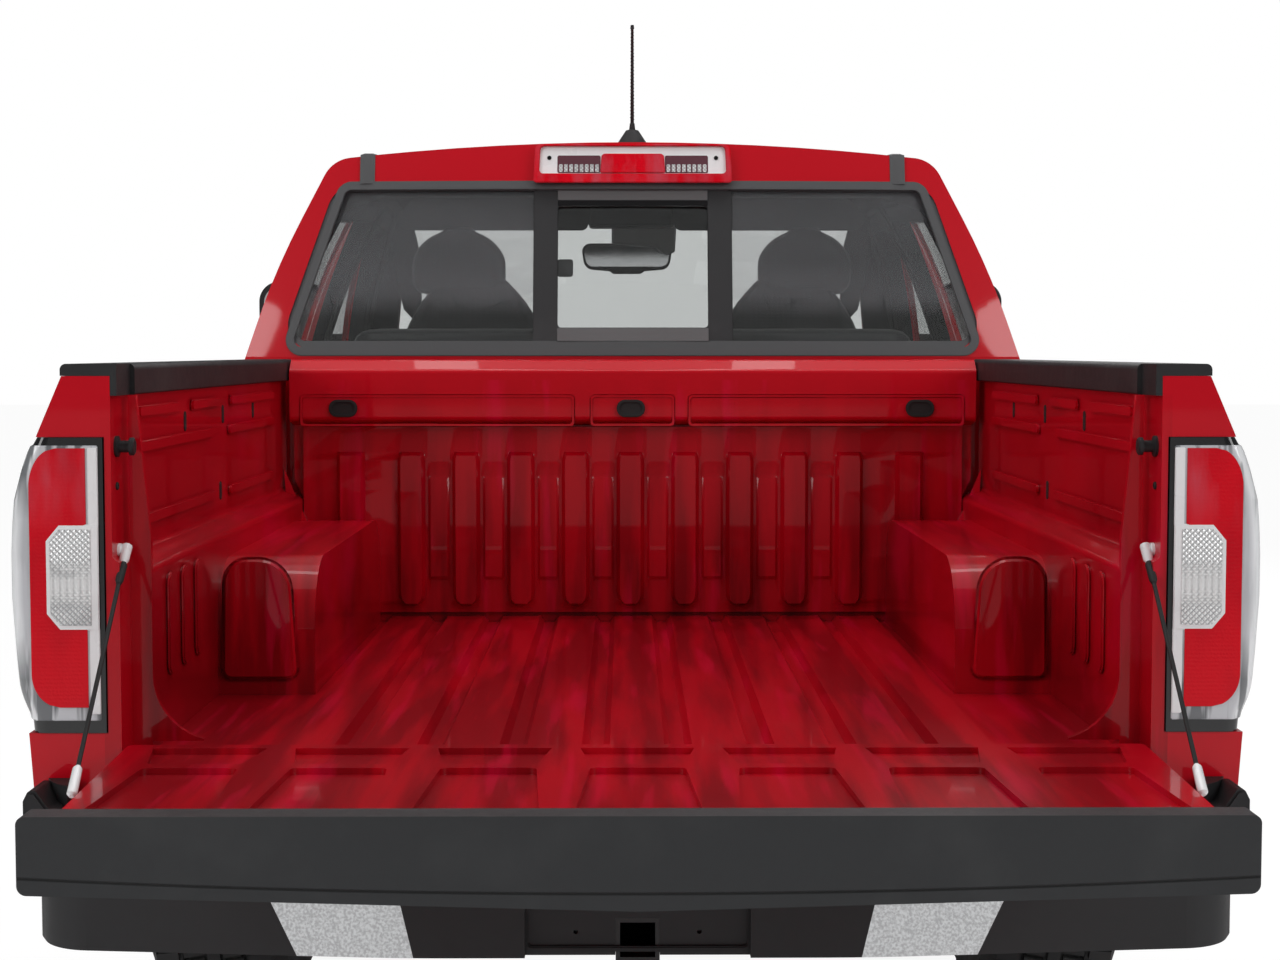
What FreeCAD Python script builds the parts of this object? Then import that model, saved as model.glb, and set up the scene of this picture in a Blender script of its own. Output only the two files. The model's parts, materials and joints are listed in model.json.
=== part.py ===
import FreeCAD, Part
import Sketcher
import math
import os
from FreeCAD import Vector

# A mid-size crew-cab pickup truck, parked with its tailgate down.
# Millimetres, +X to the right side of the truck, +Y forward, +Z up.
# The origin is on the floor, midway between the nose and the edge of the open tailgate.

SIZES = {
    # Whole vehicle
    "front_length": 1565,
    "front_overhang": 925,
    "rear_overhang": 1117,
    "track": 1585,
    "box_length": 1610,
    "cab_gap": 25,
    "cab_length": 2100,
    "seat_gap": 0.3,
    "touching_share": 0.001,
    "overrun": 40,
    # Body side section
    "sill_z": 470,
    "side_bottom_half": 884,
    "side_wide_z": 930,
    "side_wide_half": 925,
    "side_radius": 1800,
    "belt_z": 1250,
    "belt_half": 905,
    "edge_radius": 12,
    # Cab upper body
    "window_foot_drop": 160,
    "window_foot_half": 899,
    "window_bend_z": 1510,
    "window_bend_half": 815,
    "window_bend_radius": 1600,
    "roof_edge_z": 1757,
    "roof_edge_half": 690,
    "roof_edge_radius": 110,
    "roof_peak_z": 1832,
    "roof_crown_radius": 9000,
    "roof_long_radius": 9000,
    "roof_apex_inset": 740,
    "windshield_foot_z": 1130,
    "windshield_rise": 640,
    "windshield_run": 770,
    "windshield_radius": 2600,
    "windshield_top_drop": 30,
    "back_foot_z": 1285,
    "back_rise": 415,
    "back_lean": 105,
    "back_radius": 7000,
    "back_window_foot_half": 806,
    "back_window_foot_z": 1300,
    "back_window_top_half": 683,
    "back_window_top_z": 1675,
    # Cab walls
    "skin_depth": 25,
    "skin_gap": 5,
    "wall_depth": 62,
    "front_wall_depth": 50,
    "cab_floor_z": 555,
    "cab_floor_thickness": 30,
    "rocker_width": 125,
    "firewall_inset": 30,
    # Doors
    "door_bottom_z": 510,
    "door_top_z": 1700,
    "door_front_inset": 205,
    "front_door_share": 0.575,
    "rear_quarter": 130,
    "door_gap": 6,
    "door_inner_gap": 13,
    "door_inner_inset": 25,
    "door_radius": 60,
    "door_sill_radius": 70,
    "pillar_foot_z": 1115,
    "pillar_run": 730,
    "front_door_top_drop": 10,
    "rear_door_top_drop": 34,
    "rear_pillar_run": 120,
    "door_top_lead": 7,
    "window_frame": 62,
    "window_sill_rise": 22,
    "glass_depth": 14,
    "glass_thickness": 6,
    "seal_width": 6,
    "seal_inset": 3,
    "tunnel_half": 148,
    "tunnel_top_z": 760,
    "tunnel_back_inset": 900,
    # Hood and front end
    "hood_peak_z": 1162,
    "hood_long_radius": 8500,
    "hood_apex_y": 130,
    "shoulder_z": 1092,
    "shoulder_half": 893,
    "shoulder_radius": 70,
    "hood_crown_radius": 6000,
    "hood_back_half": 775,
    "hood_front_half": 742,
    "hood_front_inset": 150,
    "hood_thickness": 28,
    "fender_depth": 20,
    "nose_corner_sweep": 190,
    "nose_side_sweep": 560,
    "nose_radius": 320,
    "nose_flat_half": 330,
    "front_arch_radius": 448,
    "arch_lip_width": 34,
    "liner_radius": 466,
    "liner_thickness": 6,
    "liner_inner_half": 462,
    "lamp_bottom_z": 800,
    "lamp_top_z": 938,
    "lamp_inner_half": 560,
    "lamp_rise": 30,
    "headlamp_length": 330,
    "headlamp_depth": 90,
    "grille_half": 548,
    "grille_bottom_z": 700,
    "grille_top_z": 946,
    "grille_depth": 46,
    "grille_bar_count": 5,
    "grille_bar_height": 16,
    "grille_frame": 30,
    "bumper_top_z": 690,
    "bumper_bottom_z": 400,
    "front_bumper_depth": 90,
    "intake_half": 420,
    "intake_bottom_z": 470,
    "intake_top_z": 590,
    # Cargo box
    "box_rear_half": 846,
    "box_top_z": 1262,
    "box_shoulder_z": 1172,
    "box_shoulder_half": 885,
    "box_shoulder_radius": 210,
    "box_upper_z": 1079,
    "box_upper_half": 916,
    "box_wide_z": 932,
    "box_wide_half": 921,
    "box_lower_z": 733,
    "box_lower_half": 902,
    "box_tuck_z": 623,
    "inner_upper_half": 775,
    "inner_ledge_z": 992,
    "inner_lower_half": 734,
    "ledge_drop": 22,
    "floor_top_z": 708,
    "floor_valley_depth": 14,
    "floor_thickness": 6,
    "floor_rib_pitch": 124,
    "floor_rib_width": 82,
    "floor_rib_slope": 10,
    "floor_rib_count": 9,
    "floor_rear_inset": 18,
    "cross_sill_height": 44,
    "cross_sill_width": 70,
    "cross_sill_count": 5,
    "wheelhouse_half_gap": 564,
    "wheelhouse_top_z": 930,
    "wheelhouse_rear": 530,
    "wheelhouse_front": 470,
    "wheelhouse_wall": 7,
    "wheelhouse_radius": 120,
    "rear_arch_radius": 440,
    "rear_skirt_z": 560,
    "front_wall_thickness": 24,
    "header_height": 128,
    "header_depth": 62,
    "header_top_z": 1279,
    "header_half": 754,
    "panel_rib_count": 9,
    "panel_rib_width": 66,
    "panel_rib_depth": 12,
    "panel_top_z": 1066,
    "panel_bottom_z": 791,
    "cap_top_z": 1280,
    "cap_inner_half": 758,
    "cap_outer_half": 848,
    "cap_lip": 47,
    "cap_radius": 9,
    "cap_wall": 6,
    # Gate opening and lamps
    "jamb_half": 765,
    "jamb_depth": 68,
    "jamb_opening_half": 733,
    "jamb_thickness": 12,
    "jamb_corner_radius": 100,
    "tail_lamp_inner_half": 785,
    "tail_lamp_bottom_z": 733,
    "tail_lamp_top_z": 1172,
    "tail_lamp_depth": 62,
    "tail_lamp_wrap": 130,
    "lamp_proud": 6,
    "high_lamp_half": 225,
    "high_lamp_bottom_z": 1690,
    "high_lamp_height": 80,
    "high_lamp_proud": 14,
    # Tailgate, lying open
    "gate_height": 599,
    "hinge_inset": 30,
    "hinge_z": 685,
    "gate_foot": 29,
    "gate_half": 759,
    "gate_depth": 60,
    "gate_inner_half": 755,
    "gate_inner_cap_half": 733,
    "gate_panel_step": 24,
    "gate_rib_count": 7,
    "gate_rib_depth": 9,
    "gate_cap_length": 46,
    "gate_cap_rise": 19,
    "gate_cap_end_height": 97,
    "gate_cap_mid_height": 118,
    "gate_cap_radius": 10,
    "trunnion_radius": 11,
    "arm_thickness": 12,
    "arm_radius": 17,
    "cable_radius": 3,
    "cable_top_z": 1001,
    "cable_top_inset": 44,
    "cable_foot_reach": 300,
    "cable_foot_z": 700,
    "cable_eye_radius": 10,
    # Rear bumper
    "bumper_reach": 130,
    "bumper_corner_reach": 82,
    "rear_bumper_half": 893,
    "rear_bumper_bottom_z": 430,
    "rear_bumper_top_z": 600,
    "rear_bumper_wall": 34,
    "rear_bumper_wrap": 150,
    "rear_bumper_radius": 90,
    "pad_thickness": 28,
    "corner_pad_top_z": 667,
    "corner_pad_half": 830,
    "centre_pad_half": 330,
    "step_outer_half": 850,
    "plate_half": 162,
    "plate_height": 150,
    "plate_recess": 16,
    "plate_bolt_spacing": 178,
    "plate_bolt_radius": 3.5,
    "receiver_size": 50.8,
    "receiver_wall": 6.4,
    "receiver_length": 230,
    "receiver_z": 452,
    "receiver_pin_radius": 8,
    "receiver_pin_inset": 60,
    # Ladder frame
    "rail_width": 80,
    "rail_height": 128,
    "rail_front_half": 440,
    "rail_mid_half": 500,
    "rail_rear_half": 550,
    "rail_front_z": 470,
    "rail_mid_z": 405,
    "rail_bend": 150,
    "rail_front_inset": 300,
    "rail_rear_inset": 40,
    "cradle_half_length": 90,
    "cradle_bottom_z": 200,
    "cross_tube_radius": 38,
    "mount_radius": 36,
    "middle_tube_inset": 600,
    "rear_mount_inset": 180,
    # Wheels
    "tyre_radius": 385,
    "tyre_width": 262,
    "rim_radius": 238,
    "rim_width": 230,
    "rim_wall": 18,
    "rim_hub_radius": 78,
    "rim_hub_offset": 10,
    "rim_hub_thickness": 58,
    "rim_window_outer": 196,
    "spoke_count": 6,
    "disc_radius": 158,
    "disc_thickness": 24,
    "kingpin_inset": 68,
    "kingpin_radius": 24,
    "arm_thickness_front": 27,
    "arm_root_half": 95,
    "arm_waist_half": 72,
    "arm_neck_half": 44,
    "arm_neck_inset": 79,
    "arm_ball_half": 27,
    "spring_radius": 42,
    "spring_half": 530,
    "spring_top_z": 700,
    "steering_arm_length": 120,
    "steering_arm_drop": 50,
    "tie_rod_radius": 11,
    "rack_radius": 24,
    "shock_radius": 25,
    "kingpin_rise": 168,
    "axle_tube_radius": 42,
    "diff_radius": 138,
    "pinion_reach": 220,
    "pinion_rise": 12,
    "pinion_radius": 47,
    "hub_radius": 62,
    "drum_radius": 150,
    "drum_reach": 96,
    "leaf_half": 605,
    "leaf_width": 62,
    "leaf_length": 1010,
    "leaf_thickness": 34,
    "leaf_rise": 95,
    # Engine and underside
    "engine_width": 480,
    "engine_length": 640,
    "engine_height": 430,
    "engine_z": 560,
    "gearbox_radius": 150,
    "gearbox_end_radius": 85,
    "gearbox_length": 720,
    "shaft_radius": 36,
    "shaft_rise": 37.5,
    "shaft_clearance": 5,
    "tank_width": 300,
    "tank_length": 900,
    "tank_height": 190,
    "tank_drop": 63,
    "muffler_radius": 80,
    "muffler_length": 520,
    "pipe_radius": 30,
    "exhaust_half": 300,
    "exhaust_z": 350,
    "exhaust_out_half": 427,
    "exhaust_out_z": 400,
    "exhaust_end_half": 714,
    "spare_z": 480,
    "spare_inset": 600,
    "spare_rod_radius": 16,
    "radiator_half": 480,
    "radiator_thickness": 60,
    "radiator_top_z": 940,
    "radiator_inset": 430,
    "stop_radius": 14,
    # Interior
    "seat_centre": 400,
    "seat_width": 500,
    "seat_cushion_z": 830,
    "seat_cushion_thickness": 150,
    "seat_length": 520,
    "seat_base_half": 166,
    "seat_base_length": 416,
    "seat_back_top_z": 1440,
    "seat_back_thickness": 120,
    "headrest_width": 270,
    "headrest_top_z": 1620,
    "headrest_height": 150,
    "headrest_thickness": 90,
    "headrest_post_half": 67,
    "headrest_post_radius": 7,
    "seat_lean": 120,
    "front_seat_y": 150,
    "rear_seat_half": 660,
    "rear_seat_top_z": 1400,
    "rear_base_length": 312,
    "rear_cushion_length": 416,
    "dash_depth": 330,
    "dash_top_z": 1150,
    "dash_bottom_z": 850,
    "dash_half": 770,
    "dash_top_share": 0.7,
    "dash_brow": 120,
    "wheel_rim_radius": 185,
    "wheel_rim_tube": 15,
    "wheel_hub_radius": 55,
    "wheel_centre_z": 1075,
    "wheel_centre_back": 470,
    "column_tilt": 25,
    "column_radius": 30,
    "column_reach": 110,
    "spoke_share": 0.8,
    # Mirrors and antenna
    "mirror_width": 175,
    "mirror_height": 215,
    "mirror_depth": 95,
    "mirror_radius": 60,
    "mirror_inset": 285,
    "mirror_arm_depth": 48,
    "mirror_z": 1290,
    "mirror_gap": 35,
    "antenna_back_inset": 450,
    "antenna_top_z": 1855,
    "antenna_base_length": 150,
    "antenna_base_half": 35,
    "antenna_fin_half": 12,
    "antenna_base_height": 48,
    "antenna_mast_length": 226,
    "antenna_mast_lean": 68,
    "antenna_mast_radius": 3.5,
}

doc = FreeCAD.newDocument("Pickup")
sheet = doc.addObject("Spreadsheet::Sheet", "Sizes")
for row, (alias, number) in enumerate(SIZES.items(), start=1):
    sheet.set(f"A{row}", alias)
    sheet.set(f"B{row}", str(number))
    sheet.setAlias(f"B{row}", alias)
doc.recompute()

pieces = []


class SheetSizes:
    """Gives each named size of the sheet as a number."""

    def __getattr__(self, alias):
        return float(sheet.get(alias))


s = SheetSizes()

# Stations along the truck, also used where a feature is bound to the sheet
BODY_LENGTH = "(Sizes.box_length + Sizes.cab_gap + Sizes.cab_length + Sizes.front_length)"
NOSE = f"({BODY_LENGTH} + Sizes.gate_height - Sizes.hinge_inset) / 2"
TAIL = f"({NOSE} - {BODY_LENGTH})"
FRONT_AXLE = f"({NOSE} - Sizes.front_overhang)"
REAR_AXLE = f"({TAIL} + Sizes.rear_overhang)"


def value(expression):
    """The number that an expression on the sheet gives."""
    return float(sheet.evalExpression(expression))


body_length = value(BODY_LENGTH)
nose = value(NOSE)
tail = value(TAIL)
front_axle = value(FRONT_AXLE)
rear_axle = value(REAR_AXLE)
box_front = tail + s.box_length
cab_back = box_front + s.cab_gap
cowl = cab_back + s.cab_length
firewall = cowl - s.firewall_inset
door_front = cowl - s.door_front_inset
rear_door_back = cab_back + s.rear_quarter
door_split = door_front - (door_front - rear_door_back) * s.front_door_share
rear_door_front = door_split - s.door_gap
hinge_y = tail + s.hinge_inset
wheel_x = s.track / 2


# Two points nearer than this share of the seat gap are one point
TOUCHING = s.seat_gap * s.touching_share


# Shapes

def rounded(corners):
    """Edges through corner points (u, v) or (u, v, radius), each radius as large as its sides allow."""
    count = len(corners)
    points = [Vector(corner[0], corner[1], 0) for corner in corners]
    reaches = []
    for i in range(count):
        radius = corners[i][2] if len(corners[i]) > 2 else 0
        back = points[i - 1] - points[i]
        ahead = points[(i + 1) % count] - points[i]
        half_turn = (math.pi - back.getAngle(ahead)) / 2
        reaches.append(radius * math.tan(half_turn))
    fits = []
    for i in range(count):
        room = (points[(i + 1) % count] - points[i]).Length
        wanted = reaches[i] + reaches[(i + 1) % count]
        fits.append(min(1, room / wanted) if wanted > 0 else 1)
    starts = []
    ends = []
    middles = []
    for i in range(count):
        back = (points[i - 1] - points[i]).normalize()
        ahead = (points[(i + 1) % count] - points[i]).normalize()
        reach = reaches[i] * min(fits[i - 1], fits[i])
        starts.append(points[i] + back * reach)
        ends.append(points[i] + ahead * reach)
        if reach > 0:
            half_turn = (math.pi - back.getAngle(ahead)) / 2
            radius = reach / math.tan(half_turn)
            inward = (back + ahead).normalize()
            middles.append(points[i] + inward * (radius / math.cos(half_turn) - radius))
        else:
            middles.append(None)
    edges = []
    for i in range(count):
        if middles[i] is not None:
            edges.append((starts[i], middles[i], ends[i]))
        following = starts[(i + 1) % count]
        if not following.isEqual(ends[i], TOUCHING):
            edges.append((ends[i], following))
    return edges


def moved_in(corners, depth):
    """The corners of an outline moved inwards by a depth, with their radii to match."""
    count = len(corners)
    points = [Vector(corner[0], corner[1], 0) for corner in corners]
    area = sum(points[i - 1].x * points[i].y - points[i].x * points[i - 1].y for i in range(count))
    turn = math.copysign(1, area)
    result = []
    for i in range(count):
        along = (points[i] - points[i - 1]).normalize()
        onward = (points[(i + 1) % count] - points[i]).normalize()
        first = Vector(-along.y, along.x, 0) * turn
        second = Vector(-onward.y, onward.x, 0) * turn
        point = points[i] + (first + second) * (depth / (1 + first.dot(second)))
        radius = corners[i][2] if len(corners[i]) > 2 else 0
        bend = turn * along.cross(onward).z
        if radius:
            radius = max(radius - math.copysign(depth, bend), s.edge_radius / 2)
        result.append((point.x, point.y, radius))
    return result


def face(corners, place):
    """A flat face inside a rounded outline; place turns (u, v) into a point in space."""
    edges = []
    for edge in rounded(corners):
        ends = [place(point.x, point.y) for point in edge]
        if len(ends) == 3:
            edges.append(Part.Arc(*ends).toShape())
        else:
            edges.append(Part.LineSegment(*ends).toShape())
    return Part.Face(Part.Wire(edges))


def prism(flat, x=0, y=0, z=0):
    """A flat face drawn out into a solid whose faces point outwards."""
    return Part.makeSolid(flat.extrude(Vector(x, y, z)).Shells[0])


def along_x(corners, low, high):
    """A prism along X on an outline of (y, z) corners."""
    return prism(face(corners, lambda y, z: Vector(low, y, z)), x=high - low)


def along_y(corners, low, high):
    """A prism along Y on an outline of (x, z) corners."""
    return prism(face(corners, lambda x, z: Vector(x, low, z)), y=high - low)


def along_z(corners, low, high):
    """A prism along Z on an outline of (x, y) corners."""
    return prism(face(corners, lambda x, y: Vector(x, y, low)), z=high - low)


def block(low, high):
    """A box between two corners."""
    size = Vector(*high) - Vector(*low)
    return Part.makeBox(size.x, size.y, size.z, Vector(*low))


def bar(start, end, radius):
    """A round bar between two points."""
    axis = Vector(*end) - Vector(*start)
    return Part.makeCylinder(radius, axis.Length, Vector(*start), axis)


def both(half):
    """An outline's right half, bottom to top, and its mirror image."""
    other = [(-corner[0],) + tuple(corner[1:]) for corner in reversed(half) if corner[0] != 0]
    return list(half) + other


def mirror(shape):
    """The same shape on the other side of the truck."""
    return shape.mirror(Vector(0, 0, 0), Vector(1, 0, 0))


def pair(shape):
    return Part.makeCompound([shape, mirror(shape)])


def one(shape):
    """The single solid that a boolean left inside its compound."""
    return shape.Solids[0] if len(shape.Solids) == 1 else shape


def inset(flat, distance):
    """A flat face with its edge moved inwards."""
    return flat.makeOffset2D(-distance)


def add(name, shape):
    """One sub-part of the truck."""
    feature = doc.addObject("Part::Feature", name)
    feature.Label = name
    feature.Shape = shape
    feature.Placement = FreeCAD.Placement()
    pieces.append(feature)
    return feature


# Body volumes: the cab and the front end, each at a depth below its outer surface

def lower_section(depth):
    """The cab's lower cross-section, from the sill to the belt line."""
    half = [
        (s.side_bottom_half, s.sill_z - s.edge_radius, s.edge_radius),
        (s.side_wide_half, s.side_wide_z, s.side_radius),
        (s.belt_half, s.belt_z, s.edge_radius),
    ]
    return face(moved_in(both(half), depth), lambda x, z: Vector(x, 0, z))


def upper_section(depth):
    """The window and roof cross-section, which starts inside the lower body."""
    half = [
        (s.window_foot_half, s.belt_z - s.window_foot_drop),
        (s.window_foot_half, s.belt_z),
        (s.window_bend_half, s.window_bend_z, s.window_bend_radius),
        (s.roof_edge_half, s.roof_edge_z, s.roof_edge_radius),
        (0, s.roof_peak_z, s.roof_crown_radius),
    ]
    return face(moved_in(both(half), depth), lambda x, z: Vector(x, roof_apex, z))


roof_apex = cab_back + s.roof_apex_inset


def arched(section, centre_y, centre_z, front, back):
    """A cross-section swung about a far axis along X, so that it bows lengthwise."""
    axle = Vector(0, centre_y, centre_z)
    radius = section.BoundBox.ZMin - centre_z
    ahead = math.degrees(math.asin((front - centre_y) / radius))
    behind = math.degrees(math.asin((centre_y - back) / radius))
    start = section.copy()
    start.rotate(axle, Vector(1, 0, 0), behind)
    swung = start.revolve(axle, Vector(1, 0, 0), -(ahead + behind))
    return Part.makeSolid(swung.Shells[0])


def behind_glass(foot_y, foot_z, rise, run, radius, forward, depth):
    """The space behind a raked glass that is curved in plan: its slope swung about an upright axis."""
    slope = run / rise
    axle = Vector(0, foot_y - forward * radius, 0)
    far = foot_y - forward * (s.cab_length + s.overrun)
    low = s.sill_z
    high = s.roof_peak_z + s.overrun
    corners = [
        (far, low),
        (foot_y - forward * depth, low),
        (foot_y - forward * depth, foot_z),
        (foot_y - forward * (depth + slope * (high - foot_z)), high),
        (far, high),
    ]
    half_angle = math.degrees(math.atan2(s.side_wide_half, radius - s.cab_length - s.overrun * 2))
    slope_face = face(corners, lambda y, z: Vector(0, y, z))
    slope_face.rotate(axle, Vector(0, 0, 1), -half_angle)
    return slope_face.revolve(axle, Vector(0, 0, 1), half_angle * 2)


def upper_body(depth, glass_depth):
    """Window and roof volume, trimmed by the raked windshield and the back window."""
    volume = arched(upper_section(depth), roof_apex, s.roof_peak_z - s.roof_long_radius,
                    cowl + s.overrun, cab_back - s.overrun)
    front = behind_glass(cowl, s.windshield_foot_z, s.windshield_rise, s.windshield_run,
                         s.windshield_radius, 1, glass_depth)
    back = behind_glass(cab_back, s.back_foot_z, s.back_rise, s.back_lean,
                        s.back_radius, -1, glass_depth)
    return one(volume.common(front).common(back))


def cab_volume(depth, end_depth, front_end, glass_depth):
    """The cab down to the sills, at a depth below its skin."""
    section = lower_section(depth)
    section.translate(Vector(0, cab_back + end_depth, 0))
    lower = prism(section, y=front_end - cab_back - end_depth)
    return one(lower.fuse(upper_body(depth, glass_depth)).removeSplitter())


def front_volume(depth):
    """Fenders and hood as one volume, arched towards the nose and swept at its corners."""
    half = [
        (s.side_bottom_half, s.sill_z - s.edge_radius, s.edge_radius),
        (s.side_wide_half, s.side_wide_z, s.side_radius),
        (s.shoulder_half, s.shoulder_z, s.shoulder_radius),
        (0, s.hood_peak_z, s.hood_crown_radius),
    ]
    apex = door_front + s.hood_apex_y
    section = face(moved_in(both(half), depth), lambda x, z: Vector(x, apex, z))
    volume = arched(section, apex, s.hood_peak_z - s.hood_long_radius, nose + s.overrun,
                    door_front - s.overrun)
    plan = [
        (s.side_wide_half + s.overrun, door_front - s.overrun),
        (s.side_wide_half + s.overrun, nose - s.nose_side_sweep, s.nose_radius),
        (s.side_wide_half - s.nose_corner_sweep, nose - s.nose_corner_sweep / 2, s.nose_radius),
        (s.nose_flat_half, nose, s.windshield_radius),
    ]
    outline = face(moved_in(both(plan), depth), lambda x, y: Vector(x, y, 0))
    return one(volume.common(prism(outline, z=s.roof_peak_z)))


wide = s.side_wide_half + s.overrun


def swept_front(depth):
    """The part of the front volume ahead of the doors, at a depth below its surface."""
    start = door_front + s.door_gap
    return one(front_volume(depth).cut(block(
        (-wide, start - s.overrun * 2, 0), (wide, start, s.roof_peak_z))))


front_outer = swept_front(0)
fender_lining = swept_front(s.fender_depth)
hood_lining = swept_front(s.hood_thickness)
nose_lining = swept_front(s.front_bumper_depth)


def hood_outline(grow):
    """The hood's edge seen from above, straight where it hinges at the cowl."""
    half = [
        (s.hood_front_half, nose - s.hood_front_inset, s.edge_radius),
        (s.hood_back_half, cowl + s.door_gap),
    ]
    low = s.grille_top_z + s.door_gap - grow
    return face(moved_in(both(half), -grow), lambda x, y: Vector(x, y, low))


# Cab, doors and glass

def door_outline(front, back, lead, drop_front, drop_back, front_run, back_run, grow):
    """A door's outline in side view, as a face; grow moves its edge outwards."""
    low = s.door_bottom_z
    corners = [
        (back, low, s.door_sill_radius),
        (front, low, s.door_sill_radius),
        (front, s.pillar_foot_z, s.door_radius),
        (front - front_run, s.door_top_z - drop_front, s.door_radius),
        (back + back_run + lead, s.door_top_z - drop_back, s.door_radius),
    ]
    if back_run:
        corners.append((back + lead, s.belt_z, s.door_radius))
    outline = face(corners, lambda y, z: Vector(0, y, z))
    return inset(outline, -grow) if grow else outline


def front_door_outline(grow, lead=0):
    return door_outline(door_front, door_split, lead, s.front_door_top_drop, 0, s.pillar_run, 0, grow)


def rear_door_outline(grow, lead=0):
    return door_outline(rear_door_front, rear_door_back, lead, 0, s.rear_door_top_drop, 0,
                        s.rear_pillar_run, grow)


def across(outline, low, high):
    """A prism along X on a face that lies on the middle plane."""
    moved = outline.copy()
    moved.translate(Vector(low, 0, 0))
    return prism(moved, x=high - low)


cab_outer = cab_volume(0, 0, door_front, 0)
cab_skin_back = cab_volume(s.skin_depth, 0, firewall, s.skin_depth)
cab_lining = cab_volume(s.skin_depth + s.skin_gap, 0, firewall, 0)
cab_inner = cab_volume(s.wall_depth, s.front_wall_depth, firewall - s.front_wall_depth, s.front_wall_depth)

window_outlines = {}
for side, outline in (("front", front_door_outline), ("rear", rear_door_outline)):
    sill = s.belt_z + s.window_sill_rise
    above = block((0, -body_length, sill), (wide, body_length, s.roof_peak_z))
    window_outlines[side] = above.common(across(inset(outline(0), s.window_frame), 0, wide))


def tunnel(depth, back, front):
    """The space of the floor's tunnel over the gearbox, at a depth below its outer face."""
    half = [
        (s.tunnel_half - depth, s.cab_floor_z + s.edge_radius - depth),
        (s.tunnel_half - depth, s.tunnel_top_z - depth, s.door_radius),
    ]
    return along_y(both(half), back, front)


def make_cab_shell():
    """Rockers, floor, pillars, roof and back wall, with the door, window and glass openings."""
    lining = cab_lining.fuse(cab_outer)
    below_floor = block((-wide, cab_back, 0), (wide, cowl, s.cab_floor_z + s.cab_floor_thickness))
    shell = lining.cut(cab_inner.cut(below_floor))
    shell = shell.cut(block(
        (s.rocker_width - s.side_bottom_half, cab_back - s.overrun, 0),
        (s.side_bottom_half - s.rocker_width, cowl, s.cab_floor_z)))
    skins = cab_outer.cut(cab_lining)
    for outline in (front_door_outline, rear_door_outline):
        opening = across(outline(s.door_gap), -wide, wide)
        shell = shell.cut(opening.common(skins))
        inner = across(outline(s.door_inner_gap - s.door_inner_inset), s.rocker_width, wide)
        shell = shell.cut(inner).cut(mirror(inner))
    glass = windshield_outline(0)
    shell = shell.cut(prism(glass, y=cowl + s.overrun - s.front_seat_y))
    back = back_window_outline(0)
    shell = shell.cut(prism(back, y=s.back_lean + s.wall_depth + s.overrun))
    front = block((-wide, door_front, 0), (wide, cowl + s.overrun, s.roof_peak_z))
    shell = shell.fuse(tunnel(0, cab_back + s.tunnel_back_inset, firewall - s.seat_gap))
    shell = shell.cut(tunnel(s.cab_floor_thickness, cab_back + s.tunnel_back_inset - s.overrun, cowl))
    over_fenders = front.cut(swept_front(-s.seat_gap)).cut(upper_body(0, 0))
    skins = swept_front(-s.seat_gap).cut(swept_front(s.hood_thickness + s.door_gap))
    half = s.hood_back_half + s.door_gap
    cowl_top = block((-half, door_front, 0), (half, cowl + s.overrun, s.roof_peak_z))
    cowl_top = cowl_top.cut(prism(hood_outline(s.door_gap), z=s.roof_peak_z))
    return one(shell.cut(over_fenders).cut(skins.cut(cowl_top)))


def windshield_outline(shrink):
    half = [
        (s.roof_edge_half + s.wall_depth, s.windshield_foot_z + s.front_wall_depth / 2, s.door_radius),
        (s.roof_edge_half - s.wall_depth, s.roof_edge_z - s.windshield_top_drop, s.door_radius),
    ]
    outline = face(both(half), lambda x, z: Vector(x, s.front_seat_y, z))
    return inset(outline, shrink) if shrink else outline


def back_window_outline(shrink):
    half = [
        (s.back_window_foot_half, s.back_window_foot_z, s.door_radius),
        (s.back_window_top_half, s.back_window_top_z, s.door_radius),
    ]
    outline = face(both(half), lambda x, z: Vector(x, cab_back - s.overrun, z))
    return inset(outline, shrink) if shrink else outline


def make_door(outline):
    """A right door: its outer skin, the thinner frame inside it, and its window opening."""
    skin = across(outline(0), 0, wide).common(cab_outer.cut(cab_skin_back))
    core_outline = inset(outline(0, s.door_top_lead), s.door_inner_inset)
    core = across(core_outline, 0, wide).common(cab_skin_back.cut(cab_inner))
    return skin.fuse(core)


glass_outer = upper_body(s.glass_depth, s.glass_depth)
glass_inner = upper_body(s.glass_depth + s.glass_thickness, s.glass_depth + s.glass_thickness)
glass_layer = glass_outer.cut(glass_inner)


def window_panes(place):
    """A door's pane, a seat gap smaller than its opening."""
    outline = front_door_outline if place == "front" else rear_door_outline
    sill = s.belt_z + s.window_sill_rise + s.seat_gap
    room = block((0, -body_length, sill), (wide, body_length, s.roof_peak_z))
    opening = across(inset(outline(0), s.window_frame + s.seat_gap), 0, wide)
    return one(glass_layer.common(opening.common(room)))


shell = make_cab_shell()
add("cab_shell", shell)
for place, outline in (("front", front_door_outline), ("rear", rear_door_outline)):
    door = one(make_door(outline).cut(window_outlines[place]))
    add(f"door_{place}_right", door)
    add(f"door_{place}_left", mirror(door))
    pane = window_panes(place)
    add(f"glass_{place}_right", pane)
    add(f"glass_{place}_left", mirror(pane))

windscreen = windshield_outline(s.seat_gap)
add("windshield", one(glass_layer.common(prism(windscreen, y=cowl + s.overrun - s.front_seat_y))))
rear_pane = back_window_outline(s.seat_gap)
rear_opening = prism(rear_pane, y=s.back_lean + s.wall_depth + s.overrun)
add("rear_window", one(glass_layer.common(rear_opening)))


# Front end

hood = one(front_outer.cut(hood_lining).common(prism(hood_outline(0), z=s.roof_peak_z)))
add("hood", hood)


def wheel_liner(radius, inner, outer):
    """The round of a front wheel well, down to the axle's height."""
    arch = [
        (front_axle - radius, s.tyre_radius),
        (front_axle + radius, s.tyre_radius),
        (front_axle + radius, s.tyre_radius + radius, radius),
        (front_axle - radius, s.tyre_radius + radius, radius),
    ]
    return along_x(arch, inner, outer)


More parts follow.
